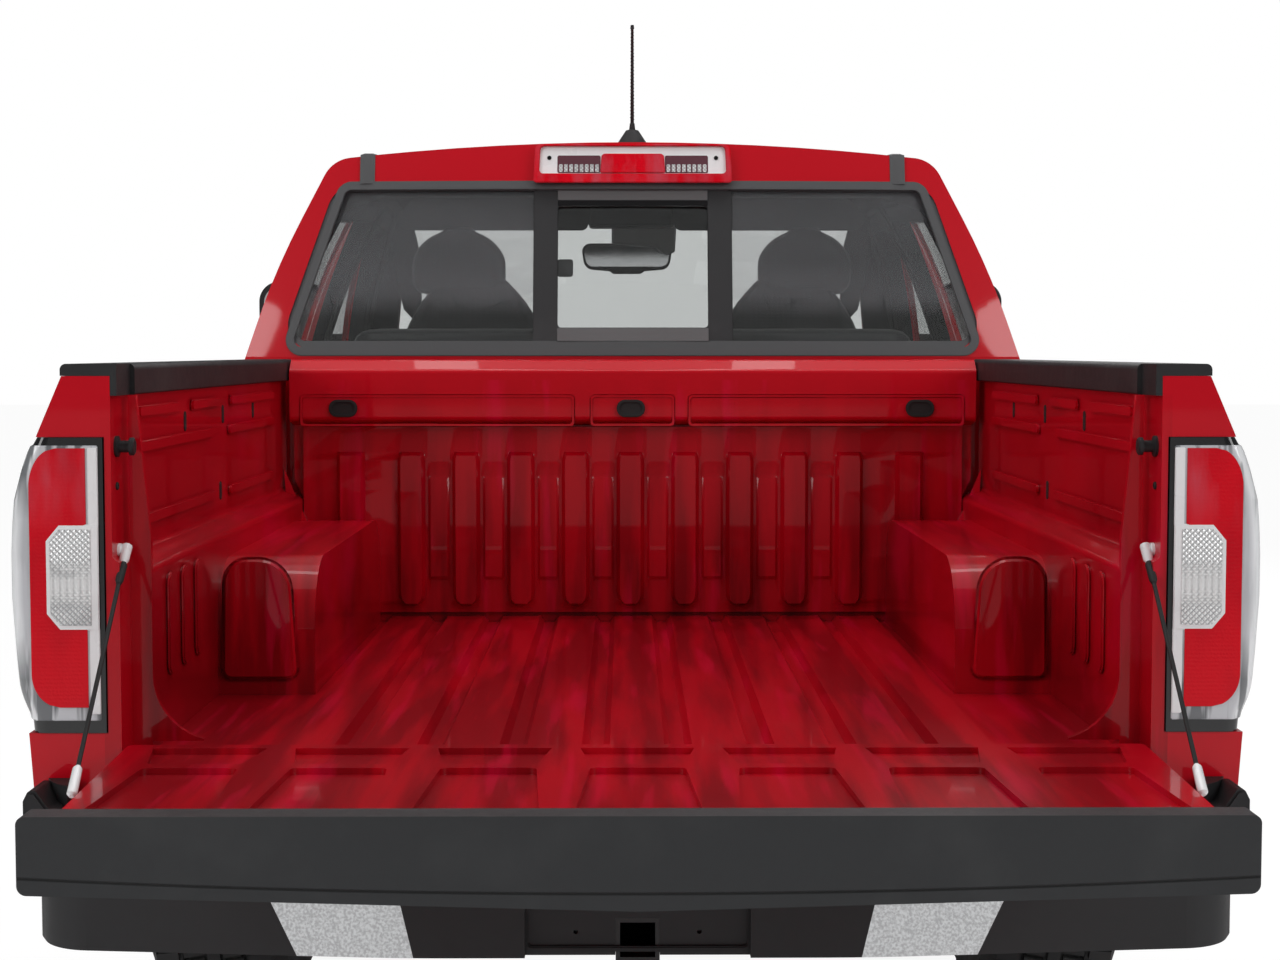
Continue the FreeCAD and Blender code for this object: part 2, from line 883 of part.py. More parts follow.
def make_fender():
    """A right front fender with its wheel arch and the liner behind it."""
    skin = front_outer.cut(fender_lining)
    skin = skin.cut(prism(hood_outline(s.door_gap), z=s.roof_peak_z))
    fender_end = nose - s.headlamp_length - s.seat_gap
    skin = skin.common(block((0, door_front, s.sill_z), (wide, fender_end, s.roof_peak_z)))
    skin = skin.cut(block((0, door_front, 0),
                          (s.side_bottom_half - s.arch_lip_width, nose, s.rear_skirt_z)))
    skin = skin.cut(block((0, door_front, 0),
                          (s.hood_back_half + s.door_gap, cowl + s.door_gap, s.roof_peak_z)))
    skin = skin.cut(upper_body(-s.door_gap, -s.door_gap))
    skin = skin.cut(block((0, front_axle + s.front_arch_radius, 0),
                          (wide, nose, s.bumper_top_z + s.seat_gap)))
    well = wheel_liner(s.liner_radius, s.liner_inner_half, wide)
    liner = well.cut(wheel_liner(s.liner_radius - s.liner_thickness,
                                 s.liner_inner_half + s.liner_thickness, wide))
    liner = liner.common(fender_lining).common(block((0, 0, 0),
                                                     (wide, front_axle + s.liner_radius, s.belt_z)))
    arm_window = block((s.liner_inner_half - s.overrun, front_axle - s.arm_root_half - s.overrun, 0),
                       (s.liner_inner_half + s.overrun, front_axle + s.arm_root_half + s.overrun,
                        s.spring_top_z + s.overrun))
    liner = liner.cut(arm_window)
    arch = bar((s.liner_inner_half, front_axle, s.tyre_radius), (wide, front_axle, s.tyre_radius),
               s.front_arch_radius)
    below = block((0, front_axle - s.front_arch_radius, 0),
                  (wide, front_axle + s.front_arch_radius, s.tyre_radius))
    skin = skin.cut(arch).cut(below)
    ring = wheel_liner(s.liner_radius, s.shoulder_half - s.shoulder_radius, wide).cut(arch).cut(below)
    ring = ring.common(front_outer.cut(swept_front(s.arch_lip_width)))
    return one(skin.fuse(liner).fuse(ring).removeSplitter())


fender = make_fender()
add("front_fenders", pair(fender))


def window_in_nose(half, bottom, top, depth, radius, shrink=0):
    """A prism along Y on a rounded rectangle, for the openings in the nose."""
    corners = [(half - shrink, bottom + shrink, radius), (half - shrink, top - shrink, radius)]
    return along_y(both(corners), nose - depth, nose + s.overrun)


def make_grille():
    """A frame with level bars across it, curved like the nose."""
    shell = front_outer.cut(swept_front(s.grille_depth))
    body = window_in_nose(s.grille_half, s.grille_bottom_z, s.grille_top_z, s.headlamp_length,
                          s.edge_radius * 2)
    openings = []
    clear = s.grille_top_z - s.grille_bottom_z - s.grille_frame * 2
    pitch = (clear + s.grille_bar_height) / (s.grille_bar_count + 1)
    for number in range(int(s.grille_bar_count) + 1):
        bottom = s.grille_bottom_z + s.grille_frame + number * pitch
        top = bottom + pitch - s.grille_bar_height
        openings.append(window_in_nose(s.grille_half - s.grille_frame, bottom, top, s.headlamp_length,
                                       s.edge_radius / 2))
    return one(shell.common(body).cut(Part.makeCompound(openings)))


def make_headlamp():
    """A right headlamp, wrapped round the corner beside the grille."""
    shell = front_outer.cut(swept_front(s.headlamp_depth))
    outline = [
        (nose - s.headlamp_length, s.lamp_bottom_z + s.lamp_rise, s.edge_radius),
        (nose + s.overrun, s.lamp_bottom_z, s.edge_radius),
        (nose + s.overrun, s.lamp_top_z - s.lamp_rise, s.edge_radius),
        (nose - s.headlamp_length, s.lamp_top_z, s.edge_radius),
    ]
    return one(shell.common(along_x(outline, s.lamp_inner_half, wide)))


def headlamp_hole():
    outline = [
        (nose - s.headlamp_length - s.seat_gap, s.lamp_bottom_z + s.lamp_rise - s.seat_gap, s.edge_radius),
        (nose + s.overrun, s.lamp_bottom_z - s.seat_gap, s.edge_radius),
        (nose + s.overrun, s.lamp_top_z - s.lamp_rise + s.seat_gap, s.edge_radius),
        (nose - s.headlamp_length - s.seat_gap, s.lamp_top_z + s.seat_gap, s.edge_radius),
    ]
    return along_x(outline, s.lamp_inner_half - s.seat_gap, wide)


add("grille", make_grille())
headlamp = make_headlamp()
add("headlamps", pair(headlamp))


def make_front_bumper():
    """The nose below the hood: one wrapped panel with its grille, lamp and intake openings."""
    start = front_axle + s.liner_radius + s.seat_gap
    shell = front_outer.cut(nose_lining)
    region = [
        (start, s.bumper_bottom_z),
        (nose + s.overrun, s.bumper_bottom_z),
        (nose + s.overrun, s.roof_peak_z),
        (nose - s.headlamp_length, s.roof_peak_z),
        (nose - s.headlamp_length, s.bumper_top_z),
        (start, s.bumper_top_z),
    ]
    panel = shell.common(along_x(region, -wide, wide))
    panel = panel.cut(prism(hood_outline(s.door_gap), z=s.roof_peak_z))
    panel = panel.cut(window_in_nose(s.grille_half, s.grille_bottom_z, s.grille_top_z,
                                     s.headlamp_length + s.overrun,
                                     s.edge_radius * 2, -s.seat_gap))
    panel = panel.cut(window_in_nose(s.intake_half, s.intake_bottom_z, s.intake_top_z,
                                     s.headlamp_length + s.overrun, s.edge_radius * 2))
    hole = headlamp_hole()
    return one(panel.cut(hole).cut(mirror(hole)))


add("front_bumper", make_front_bumper())


# Cargo box

def box_section(shift=0):
    """The outer side of the box, bottom to top, as corners of its cross-section."""
    return [
        (s.side_bottom_half - shift, s.sill_z, s.edge_radius),
        (s.box_lower_half - shift, s.box_lower_z, s.side_radius),
        (s.box_wide_half - shift, s.box_wide_z, s.side_radius),
        (s.box_upper_half - shift, s.box_upper_z, s.box_shoulder_radius),
        (s.box_shoulder_half - shift, s.box_shoulder_z, s.box_shoulder_radius),
        (s.box_rear_half - shift, s.box_top_z),
    ]


def inner_section(out=0):
    """The inner side of the box, top to bottom, with the ledge that carries a cross plank."""
    return [
        (s.inner_upper_half + out, s.box_top_z),
        (s.inner_upper_half + out, s.inner_ledge_z, s.edge_radius),
        (s.inner_lower_half + out, s.inner_ledge_z - s.ledge_drop, s.edge_radius),
        (s.inner_lower_half + out, s.floor_top_z - s.floor_valley_depth - s.floor_thickness),
    ]


def wheelhouse_outline(grow):
    low = s.floor_top_z - s.floor_valley_depth - s.floor_thickness - s.cross_sill_height
    corners = [
        (rear_axle - s.wheelhouse_rear, low),
        (rear_axle + s.wheelhouse_front, low),
        (rear_axle + s.wheelhouse_front, s.wheelhouse_top_z, s.wheelhouse_radius),
        (rear_axle - s.wheelhouse_rear, s.wheelhouse_top_z, s.wheelhouse_radius),
    ]
    return moved_in(corners, -grow) if grow else corners


def tail_lamp_outline(grow):
    """A tail lamp seen from above: deep at the corner and wrapped round the side."""
    corners = [
        (s.tail_lamp_inner_half, tail - s.overrun),
        (wide, tail - s.overrun),
        (wide, tail + s.tail_lamp_wrap),
        (s.box_shoulder_half - s.skin_depth, tail + s.tail_lamp_depth, s.shoulder_radius),
        (s.tail_lamp_inner_half, tail + s.tail_lamp_depth),
    ]
    return moved_in(corners, -grow) if grow else corners


def make_box_side():
    """The right side of the box: outer panel, inner panel, wheelhouse, arch and rear jamb."""
    section = box_section() + inner_section()
    side = along_y(section + [(s.side_bottom_half - s.wall_depth, s.sill_z, s.edge_radius)], tail,
                   box_front)
    jamb = block((s.jamb_half - s.overrun, tail - s.overrun, 0),
                 (s.jamb_half, tail + s.jamb_depth, s.roof_peak_z))
    side = side.cut(jamb)
    low = s.floor_top_z + s.seat_gap
    corner_z = low + s.jamb_corner_radius
    corner_x = s.jamb_opening_half - s.jamb_corner_radius
    flange_half = [
        (corner_x + s.jamb_thickness * 2, low),
        (s.jamb_half, low),
        (s.jamb_half, s.cap_top_z - s.cap_lip - s.seat_gap),
        (s.jamb_half - s.jamb_thickness, s.cap_top_z - s.cap_lip - s.seat_gap),
        (s.jamb_opening_half, s.inner_ledge_z + s.ledge_drop, s.edge_radius),
        (s.jamb_opening_half, corner_z),
        (corner_x + s.jamb_thickness * 2, corner_z),
    ]
    front = tail + s.jamb_depth + s.jamb_thickness
    flange = along_y(flange_half, tail + s.jamb_depth, front)
    flange = flange.cut(bar((corner_x, tail, corner_z), (corner_x, front + s.overrun, corner_z),
                            s.jamb_corner_radius))
    side = side.fuse(flange)
    skirt = [
        (tail - s.overrun, s.sill_z - s.overrun),
        (rear_axle, s.sill_z - s.overrun),
        (rear_axle, s.rear_skirt_z),
        (tail - s.overrun, s.box_tuck_z),
    ]
    side = side.cut(along_x(skirt, s.wheelhouse_half_gap, wide))
    house = along_x(wheelhouse_outline(0), s.wheelhouse_half_gap, s.inner_upper_half)
    side = side.fuse(house)
    well = along_x(wheelhouse_outline(-s.wheelhouse_wall),
                   s.wheelhouse_half_gap + s.wheelhouse_wall, s.box_lower_half - s.skin_depth)
    below = block((s.wheelhouse_half_gap + s.wheelhouse_wall,
                   rear_axle - s.wheelhouse_rear + s.wheelhouse_wall, 0),
                  (wide, rear_axle + s.wheelhouse_front - s.wheelhouse_wall, s.rear_skirt_z + s.overrun))
    arch = bar((s.wheelhouse_half_gap + s.wheelhouse_wall, rear_axle, s.tyre_radius),
               (wide, rear_axle, s.tyre_radius),
               s.rear_arch_radius)
    opening = block((s.wheelhouse_half_gap + s.wheelhouse_wall, rear_axle - s.rear_arch_radius, 0),
                    (wide, rear_axle + s.rear_arch_radius, s.tyre_radius))
    side = side.cut(well).cut(arch).cut(opening)
    lamp = along_z(tail_lamp_outline(s.seat_gap), s.tail_lamp_bottom_z - s.seat_gap,
                   s.tail_lamp_top_z + s.seat_gap)
    return one(side.cut(lamp).removeSplitter())


box_side = make_box_side()
add("box_side_right", box_side)
add("box_side_left", mirror(box_side))


def make_tail_lamp():
    """A right tail lamp, flush with the corner of the box."""
    lamp = along_z(tail_lamp_outline(0), s.tail_lamp_bottom_z, s.tail_lamp_top_z)
    skin = box_section() + [(s.tail_lamp_inner_half, s.box_top_z), (s.tail_lamp_inner_half, s.sill_z)]
    return one(lamp.common(along_y(skin, tail - s.lamp_proud, tail + s.tail_lamp_wrap)))


def make_high_lamp():
    """The stop lamp over the back window, seated on the roof's edge."""
    skin = upper_body(-s.seat_gap, -s.seat_gap)
    proud = upper_body(-s.high_lamp_proud, -s.high_lamp_proud)
    corners = [
        (s.high_lamp_half, s.high_lamp_bottom_z, s.edge_radius),
        (s.high_lamp_half, s.high_lamp_bottom_z + s.high_lamp_height, s.edge_radius),
    ]
    return one(along_y(both(corners), cab_back, cab_back + s.back_lean * 2).common(proud.cut(skin)))


tail_lamp = make_tail_lamp()
add("rear_lamps", Part.makeCompound([tail_lamp, mirror(tail_lamp), make_high_lamp()]))


def make_rail_cap():
    """The moulded cap along the top of the right side, with a lip over the inner edge."""
    section = [
        (s.cap_inner_half, s.cap_top_z - s.cap_lip, s.cap_wall / 2),
        (s.cap_inner_half, s.cap_top_z, s.cap_radius),
        (s.cap_outer_half, s.cap_top_z, s.cap_radius),
        (s.cap_outer_half, s.box_top_z + s.seat_gap),
        (s.inner_upper_half - s.seat_gap, s.box_top_z + s.seat_gap),
        (s.inner_upper_half - s.seat_gap, s.cap_top_z - s.cap_lip),
    ]
    gate_room = block((0, tail - s.overrun, 0),
                      (s.jamb_half, tail + s.jamb_depth + s.jamb_thickness + s.door_gap, s.roof_peak_z))
    return one(along_y(section, tail, box_front).cut(gate_room))


rail_cap = make_rail_cap()
add("rail_caps", pair(rail_cap))


def make_box_floor():
    """A ribbed floor between the sides and the wheelhouses, on its cross sills."""
    top = s.floor_top_z
    valley = top - s.floor_valley_depth
    corners = []
    middle = (s.floor_rib_count - 1) / 2
    for number in range(int(s.floor_rib_count)):
        centre = (number - middle) * s.floor_rib_pitch
        half = s.floor_rib_width / 2
        corners += [
            (centre - half - s.floor_rib_slope, valley),
            (centre - half, top),
            (centre + half, top),
            (centre + half + s.floor_rib_slope, valley),
        ]
    edge = s.inner_lower_half - s.seat_gap
    under = valley - s.floor_thickness
    corners = [(-edge, under), (-edge, valley)] + corners + [(edge, valley), (edge, under)]
    floor = along_y(corners, tail + s.floor_rear_inset, box_front - s.front_wall_thickness - s.seat_gap)
    house = wheelhouse_outline(s.seat_gap)
    inner = s.wheelhouse_half_gap - s.seat_gap
    wheelhouse = along_x(house, inner, wide)
    first = tail + s.floor_rear_inset + s.cross_sill_width / 2
    last = box_front - s.front_wall_thickness - s.cross_sill_width
    pitch = (last - first) / (s.cross_sill_count - 1)
    sills = []
    for number in range(int(s.cross_sill_count)):
        centre = first + number * pitch
        sills.append(block((-edge, centre - s.cross_sill_width / 2, under - s.cross_sill_height),
                           (edge, centre + s.cross_sill_width / 2, under)))
    floor = floor.fuse(sills)
    gate_room = block((-edge, tail, under - s.cross_sill_height), (edge, tail + s.floor_rear_inset, top))
    return one(floor.cut(wheelhouse).cut(mirror(wheelhouse)).cut(gate_room).removeSplitter())


add("box_floor", make_box_floor())


def make_front_wall():
    """The box's front wall: a deep header over a ribbed panel."""
    rear = box_front - s.front_wall_thickness
    edge = s.inner_lower_half - s.seat_gap
    under = s.floor_top_z - s.floor_valley_depth - s.floor_thickness
    wall_half = [
        (edge, under),
        (edge, s.inner_ledge_z - s.ledge_drop, s.edge_radius),
        (s.header_half, s.inner_ledge_z + s.ledge_drop, s.edge_radius),
        (s.header_half, s.header_top_z),
    ]
    wall = along_y(both(wall_half), rear, box_front - s.seat_gap)
    bottom = s.header_top_z - s.header_height - (s.cap_top_z - s.box_top_z)
    header = [
        (box_front - s.front_wall_thickness, bottom),
        (rear - s.header_depth, bottom + s.edge_radius, s.edge_radius),
        (rear - s.header_depth, s.header_top_z - s.edge_radius * 2, s.edge_radius),
        (rear - s.header_depth / 2, s.header_top_z, s.edge_radius),
        (box_front - s.seat_gap, s.header_top_z),
        (box_front - s.seat_gap, bottom),
    ]
    wall = wall.fuse(along_x(header, -s.header_half, s.header_half))
    pitch = edge * 2 / s.panel_rib_count
    for number in range(int(s.panel_rib_count)):
        centre = (number - (s.panel_rib_count - 1) / 2) * pitch
        rib = [
            (centre - s.panel_rib_width / 2 - s.panel_rib_depth, rear + s.panel_rib_depth / 2),
            (centre - s.panel_rib_width / 2, rear - s.panel_rib_depth, s.panel_rib_depth / 2),
            (centre + s.panel_rib_width / 2, rear - s.panel_rib_depth, s.panel_rib_depth / 2),
            (centre + s.panel_rib_width / 2 + s.panel_rib_depth, rear + s.panel_rib_depth / 2),
        ]
        wall = wall.fuse(along_z(rib, s.panel_bottom_z, s.panel_top_z))
    wheelhouse = along_x(wheelhouse_outline(s.seat_gap), s.wheelhouse_half_gap - s.seat_gap, wide)
    return one(wall.cut(wheelhouse).cut(mirror(wheelhouse)).removeSplitter())


add("box_front_wall", make_front_wall())


# Tailgate, lying open on its cables

gate_near = hinge_y - s.gate_foot
gate_far = hinge_y - s.gate_height
gate_top = s.hinge_z + s.gate_depth / 2
gate_bottom = s.hinge_z - s.gate_depth / 2


# Half widths of a stamped pocket as shares of the pockets' pitch, at its wide and its narrow end
POCKET_WIDE_SHARE = 0.40
POCKET_NARROW_SHARE = 0.32


def make_tailgate():
    """Outer skin and narrower inner panel, stamped with recesses, with its two hinge arms."""
    end = gate_far + s.gate_cap_radius + s.seat_gap
    skin = block((-s.gate_half, end, gate_bottom), (s.gate_half, gate_near, gate_top - s.gate_panel_step))
    panel_half = [
        (s.gate_inner_cap_half, end, s.edge_radius),
        (s.gate_inner_half, gate_near, s.edge_radius),
    ]
    panel = along_z(both(panel_half), gate_top - s.gate_panel_step, gate_top)
    gate = skin.fuse(panel)
    pitch = s.gate_inner_cap_half * 2 / s.gate_rib_count
    middle = (s.gate_rib_count - 1) / 2
    split = gate_near - s.gate_foot * 2 - s.gate_cap_mid_height
    rows = ((gate_near - s.gate_foot, split + s.gate_foot),
            (gate_far + s.gate_cap_length + s.gate_foot, split))
    pockets = []
    for number in range(int(s.gate_rib_count)):
        centre = (number - middle) * pitch
        for wide_y, narrow_y in rows:
            pocket = [
                (centre - pitch * POCKET_WIDE_SHARE, wide_y),
                (centre + pitch * POCKET_WIDE_SHARE, wide_y),
                (centre + pitch * POCKET_NARROW_SHARE, narrow_y, s.edge_radius),
                (centre - pitch * POCKET_NARROW_SHARE, narrow_y, s.edge_radius),
            ]
            pockets.append(along_z(pocket, gate_top - s.gate_rib_depth, gate_top + s.overrun))
    gate = gate.cut(pockets)
    arm = block((s.gate_half - s.arm_thickness, gate_near, s.hinge_z - s.arm_radius),
                (s.gate_half, hinge_y, s.hinge_z + s.arm_radius))
    eye = bar((s.gate_half - s.arm_thickness, hinge_y, s.hinge_z), (s.gate_half, hinge_y, s.hinge_z),
              s.arm_radius)
    pin = bar((s.gate_half - s.arm_thickness, hinge_y, s.hinge_z),
              (s.jamb_half - s.seat_gap, hinge_y, s.hinge_z),
              s.trunnion_radius)
    arm = arm.fuse(eye).fuse(pin)
    return one(gate.fuse(arm).fuse(mirror(arm)).removeSplitter())


add("tailgate", make_tailgate())


def make_gate_cap():
    """The moulded cap over the gate's upper edge, deepest at its middle."""
    top = gate_top + s.gate_cap_rise
    end = top - s.gate_cap_end_height
    middle = top - s.gate_cap_mid_height
    face_half = [
        (0, middle),
        (s.gate_half, end, s.edge_radius),
        (s.gate_half, top, s.gate_cap_radius),
    ]
    edge_thickness = s.gate_cap_radius
    back = gate_far + edge_thickness + s.seat_gap
    outer = along_y(both(face_half), gate_far + edge_thickness - s.gate_cap_length / 2,
                    back + s.gate_cap_length)
    solid = outer.common(block((-s.gate_half, gate_far, 0),
                               (s.gate_half, gate_far + s.gate_cap_length, s.belt_z)))
    room = block((-wide, gate_far + edge_thickness, gate_bottom - s.seat_gap),
                 (wide, tail, gate_top + s.seat_gap))
    below = block((-wide, gate_far + edge_thickness, 0), (wide, tail, gate_bottom))
    return one(solid.cut(room).cut(below))


add("tailgate_cap", make_gate_cap())


def make_cable():
    """The right check cable, from the jamb to the side of the open gate, with an eye at each end."""
    top = (s.jamb_half - s.cable_radius * 2, tail + s.cable_top_inset, s.cable_top_z)
    foot = (s.gate_half + s.cable_radius + s.seat_gap * 2, tail - s.cable_foot_reach, s.cable_foot_z)
    line = bar(top, foot, s.cable_radius)
    top_eye = bar((s.jamb_half - s.seat_gap, top[1], top[2]), (top[0] - s.cable_radius, top[1], top[2]),
                  s.cable_eye_radius)
    foot_eye = bar((s.gate_half + s.seat_gap, foot[1], foot[2]),
                   (foot[0] + s.cable_radius, foot[1], foot[2]),
                   s.cable_eye_radius)
    return one(line.fuse([top_eye, foot_eye]))


cable = make_cable()
add("tailgate_cables", pair(cable))


# Rear bumper and receiver

def bumper_plan(shrink):
    """The rear bumper from above, bowed at its middle and wrapped round the corners."""
    half = [
        (s.rear_bumper_half - s.edge_radius, tail + s.rear_bumper_wrap),
        (s.rear_bumper_half, tail - s.bumper_corner_reach + s.rear_bumper_radius, s.rear_bumper_radius),
        (s.step_outer_half, tail - s.bumper_corner_reach, s.rear_bumper_radius),
        (s.centre_pad_half, tail - s.bumper_reach, s.windshield_radius / 2),
    ]
    corners = both(half)
    return moved_in(corners, shrink) if shrink else corners


def make_rear_bumper():
    """The bright face bar, open in front, with a recess for a plate."""
    low = s.rear_bumper_bottom_z
    outer = along_z(bumper_plan(0), low, s.rear_bumper_top_z)
    inner = along_z(bumper_plan(s.rear_bumper_wall), low - s.overrun,
                    s.rear_bumper_top_z - s.rear_bumper_wall / 2)
    open_front = block((s.rear_bumper_wall - s.rear_bumper_half, tail, low - s.overrun),
                       (s.rear_bumper_half - s.rear_bumper_wall, tail + s.rear_bumper_wrap + s.overrun,
                        s.belt_z))
    bar_shape = outer.cut(inner).cut(open_front)
    plate_low = s.rear_bumper_top_z - s.plate_height
    recess = block((-s.plate_half, tail - s.bumper_reach - s.overrun, low - s.overrun),
                   (s.plate_half, tail - s.bumper_reach + s.plate_recess,
                    s.rear_bumper_top_z - s.pad_thickness))
    holes = [bar((side * s.plate_bolt_spacing / 2, tail - s.bumper_reach, plate_low + s.pad_thickness / 2),
                 (side * s.plate_bolt_spacing / 2, tail,
                  plate_low + s.pad_thickness / 2), s.plate_bolt_radius)
             for side in (-1, 1)]
    tube = s.receiver_size / 2 + s.receiver_wall + s.seat_gap
    tube_room = block((-tube, tail - s.bumper_reach - s.overrun, low - s.overrun),
                      (tube, tail, s.receiver_z + tube))
    return one(bar_shape.cut(recess).cut(tube_room).cut(Part.makeCompound(holes)))


add("rear_bumper", make_rear_bumper())


def make_bumper_pads():
    """The moulded step on top of the bumper and the raised pads at its corners."""
    low = s.rear_bumper_top_z + s.seat_gap
    top = along_z(bumper_plan(s.edge_radius / 2), low, low + s.pad_thickness)
    top = top.cut(block((-wide, tail, 0), (wide, tail + s.rear_bumper_wrap + s.overrun, s.belt_z)))
    corner = along_z(bumper_plan(s.edge_radius), low, s.corner_pad_top_z)
    corner = corner.common(block((s.corner_pad_half, tail - s.bumper_reach, low),
                                 (wide, tail - s.lamp_proud - s.seat_gap * 2, s.corner_pad_top_z)))
    return one(top.fuse([corner, mirror(corner)]).removeSplitter())


add("bumper_pads", make_bumper_pads())


def make_receiver():
    """The square receiver tube under the bumper, on its cross tube, with a bore for its pin."""
    outer = s.receiver_size / 2 + s.receiver_wall
    inner = s.receiver_size / 2
    mouth = tail - s.bumper_reach + s.plate_recess
    back = mouth + s.receiver_length
    low = s.receiver_z
    tube = block((-outer, mouth, low - outer), (outer, back, low + outer))
    tube = tube.cut(block((-inner, mouth - s.overrun, low - inner), (inner, back + s.overrun, low + inner)))
    pin_y = mouth + s.receiver_pin_inset
    tube = tube.cut(bar((-outer - s.overrun, pin_y, low), (outer + s.overrun, pin_y, low),
                        s.receiver_pin_radius))
    return tube


add("receiver", make_receiver())


# Ladder frame

box_sill_z = s.floor_top_z - s.floor_valley_depth - s.floor_thickness - s.cross_sill_height
rail_rear_z = box_sill_z - s.seat_gap - s.rail_height
rail_front_y = nose - s.rail_front_inset
rail_rear_y = tail + s.rail_rear_inset
kick_front_y = front_axle - s.liner_radius
kick_rear_y = cab_back - s.overrun / 2 - s.rail_bend
spare_y = rear_axle - s.spare_inset
engine_front = nose - s.radiator_inset - s.radiator_thickness - s.overrun
engine_back = engine_front - s.engine_length


def make_rail():
    """The right rail: dropped under the cab, raised over the rear axle, wider apart to the rear."""
    low = [
        (rail_front_y, s.rail_front_z),
        (kick_front_y, s.rail_front_z, s.rail_bend),
        (kick_front_y - s.rail_bend, s.rail_mid_z, s.rail_bend),
        (kick_rear_y + s.rail_bend, s.rail_mid_z, s.rail_bend),
        (kick_rear_y, rail_rear_z, s.rail_bend),
        (rail_rear_y, rail_rear_z),
    ]
    high = [(y, z + s.rail_height) + tuple(rest) for y, z, *rest in reversed(low)]
    outer = [
        (s.rail_front_half, rail_front_y),
        (s.rail_front_half, kick_front_y, s.rail_bend),
        (s.rail_mid_half, kick_front_y - s.rail_bend, s.rail_bend),
        (s.rail_mid_half, kick_rear_y + s.rail_bend, s.rail_bend),
        (s.rail_rear_half, kick_rear_y, s.rail_bend),
        (s.rail_rear_half, rail_rear_y),
    ]
    inner = [(x - s.rail_width, y) + tuple(rest) for x, y, *rest in reversed(outer)]
    return along_x(low + high, 0, s.rail_rear_half).common(along_z(outer + inner, 0, s.belt_z))


def cross_tube(y, z, half):
    return bar((-half, y, z), (half, y, z), s.cross_tube_radius)


def make_frame():
    """Two rails, their cross tubes, the front cradle and what the cab, engine and bumpers bolt to."""
    rail = make_rail()
    parts = [rail, mirror(rail)]
    tube = s.cross_tube_radius
    parts.append(cross_tube(rail_front_y - tube * 2, s.rail_front_z + s.rail_height / 2,
                            s.rail_front_half - tube))
    parts.append(cross_tube(kick_rear_y, rail_rear_z + s.rail_height / 2, s.rail_rear_half - tube))
    parts.append(cross_tube(kick_front_y - s.middle_tube_inset, s.rail_mid_z + tube,
                            s.rail_mid_half - tube))
    hitch_z = s.receiver_z + s.receiver_size / 2 + s.receiver_wall + tube + s.seat_gap
    parts.append(cross_tube(rail_rear_y + tube, hitch_z, s.rail_rear_half - s.edge_radius))
    cradle = block((-s.rail_front_half, front_axle - s.cradle_half_length, s.cradle_bottom_z),
                   (s.rail_front_half, front_axle + s.cradle_half_length, s.rail_front_z + tube / 2))
    parts.append(cradle)
    spare_top = s.spare_z + s.tyre_width / 2
    parts.append(block((-s.rail_rear_half + s.edge_radius, spare_y - tube, spare_top + s.edge_radius / 2),
                       (s.rail_rear_half - s.edge_radius, spare_y + tube, box_sill_z - s.seat_gap)))
    parts.append(bar((0, spare_y, box_sill_z - s.edge_radius),
                     (0, spare_y, s.spare_z - s.rim_hub_offset + s.seat_gap),
                     s.spare_rod_radius))
    mount_x = s.rail_mid_half - s.rail_width / 2
    for y in (kick_front_y - s.rail_bend - s.mount_radius * 2, door_split, cab_back + s.rear_mount_inset):
        pad = bar((mount_x, y, s.rail_mid_z + s.rail_height / 2), (mount_x, y, s.cab_floor_z - s.seat_gap),
                  s.mount_radius)
        parts += [pad, mirror(pad)]
    engine_mount = block((s.engine_width / 2 + s.seat_gap, front_axle - s.mount_radius,
                          s.engine_z + s.seat_gap),
                         (s.rail_front_half - s.edge_radius, front_axle + s.mount_radius,
                          s.rail_front_z + s.rail_height - s.edge_radius / 2))
    hanger_z = rear_leaf_z + s.leaf_rise + s.leaf_thickness + s.seat_gap
    cheek = s.leaf_half - s.leaf_width / 2 - s.seat_gap
    parts += [engine_mount, mirror(engine_mount)]
    for direction in (-1, 1):
        y = rear_axle + direction * (s.leaf_length / 2 - s.mount_radius)
        root = s.rail_mid_half - s.edge_radius if direction > 0 else s.rail_rear_half - s.edge_radius
        hanger = block((root, y - s.mount_radius, hanger_z),
                       (s.leaf_half + s.leaf_width / 2, y + s.mount_radius, hanger_z + s.mount_radius))
        side = block((root, y - s.mount_radius, hanger_z - s.mount_radius * 2),
                     (cheek, y + s.mount_radius, hanger_z + s.mount_radius))
        hanger = hanger.fuse(side)
        parts += [hanger, mirror(hanger)]
    tower = block((s.rail_front_half - s.edge_radius, front_axle - s.spring_radius,
                   s.spring_top_z + s.seat_gap),
                  (s.spring_half + s.spring_radius, front_axle + s.spring_radius,
                   s.spring_top_z + s.edge_radius))
    web = block((s.rail_front_half - s.edge_radius, front_axle - s.spring_radius,
                 s.rail_front_z + s.rail_height / 2),
                (s.rail_front_half, front_axle + s.spring_radius, s.spring_top_z + s.edge_radius))
    tower = tower.fuse(web)
    parts += [tower, mirror(tower)]
    horn = block((s.rail_front_half - s.rail_width, rail_front_y - s.edge_radius, s.rail_front_z),
                 (s.rail_front_half, nose, s.rail_front_z + s.rail_height))
    horn = horn.common(swept_front(s.front_bumper_depth + s.seat_gap))
    tongue = block((s.rail_rear_half - s.rail_width, tail - s.bumper_reach, rail_rear_z),
                   (s.rail_rear_half, rail_rear_y + s.edge_radius,
                    s.rear_bumper_top_z - s.rear_bumper_wall / 2 - s.seat_gap))
    tongue = tongue.common(along_z(bumper_plan(s.rear_bumper_wall + s.seat_gap), 0, s.belt_z))
    parts += [horn, mirror(horn), tongue, mirror(tongue)]
    frame = parts[0].fuse(parts[1:])
    return one(frame.removeSplitter())


rear_leaf_z = s.tyre_radius + s.axle_tube_radius + s.seat_gap

add("ladder_frame", make_frame())


# Front and rear suspension

kingpin_x = wheel_x - s.kingpin_inset


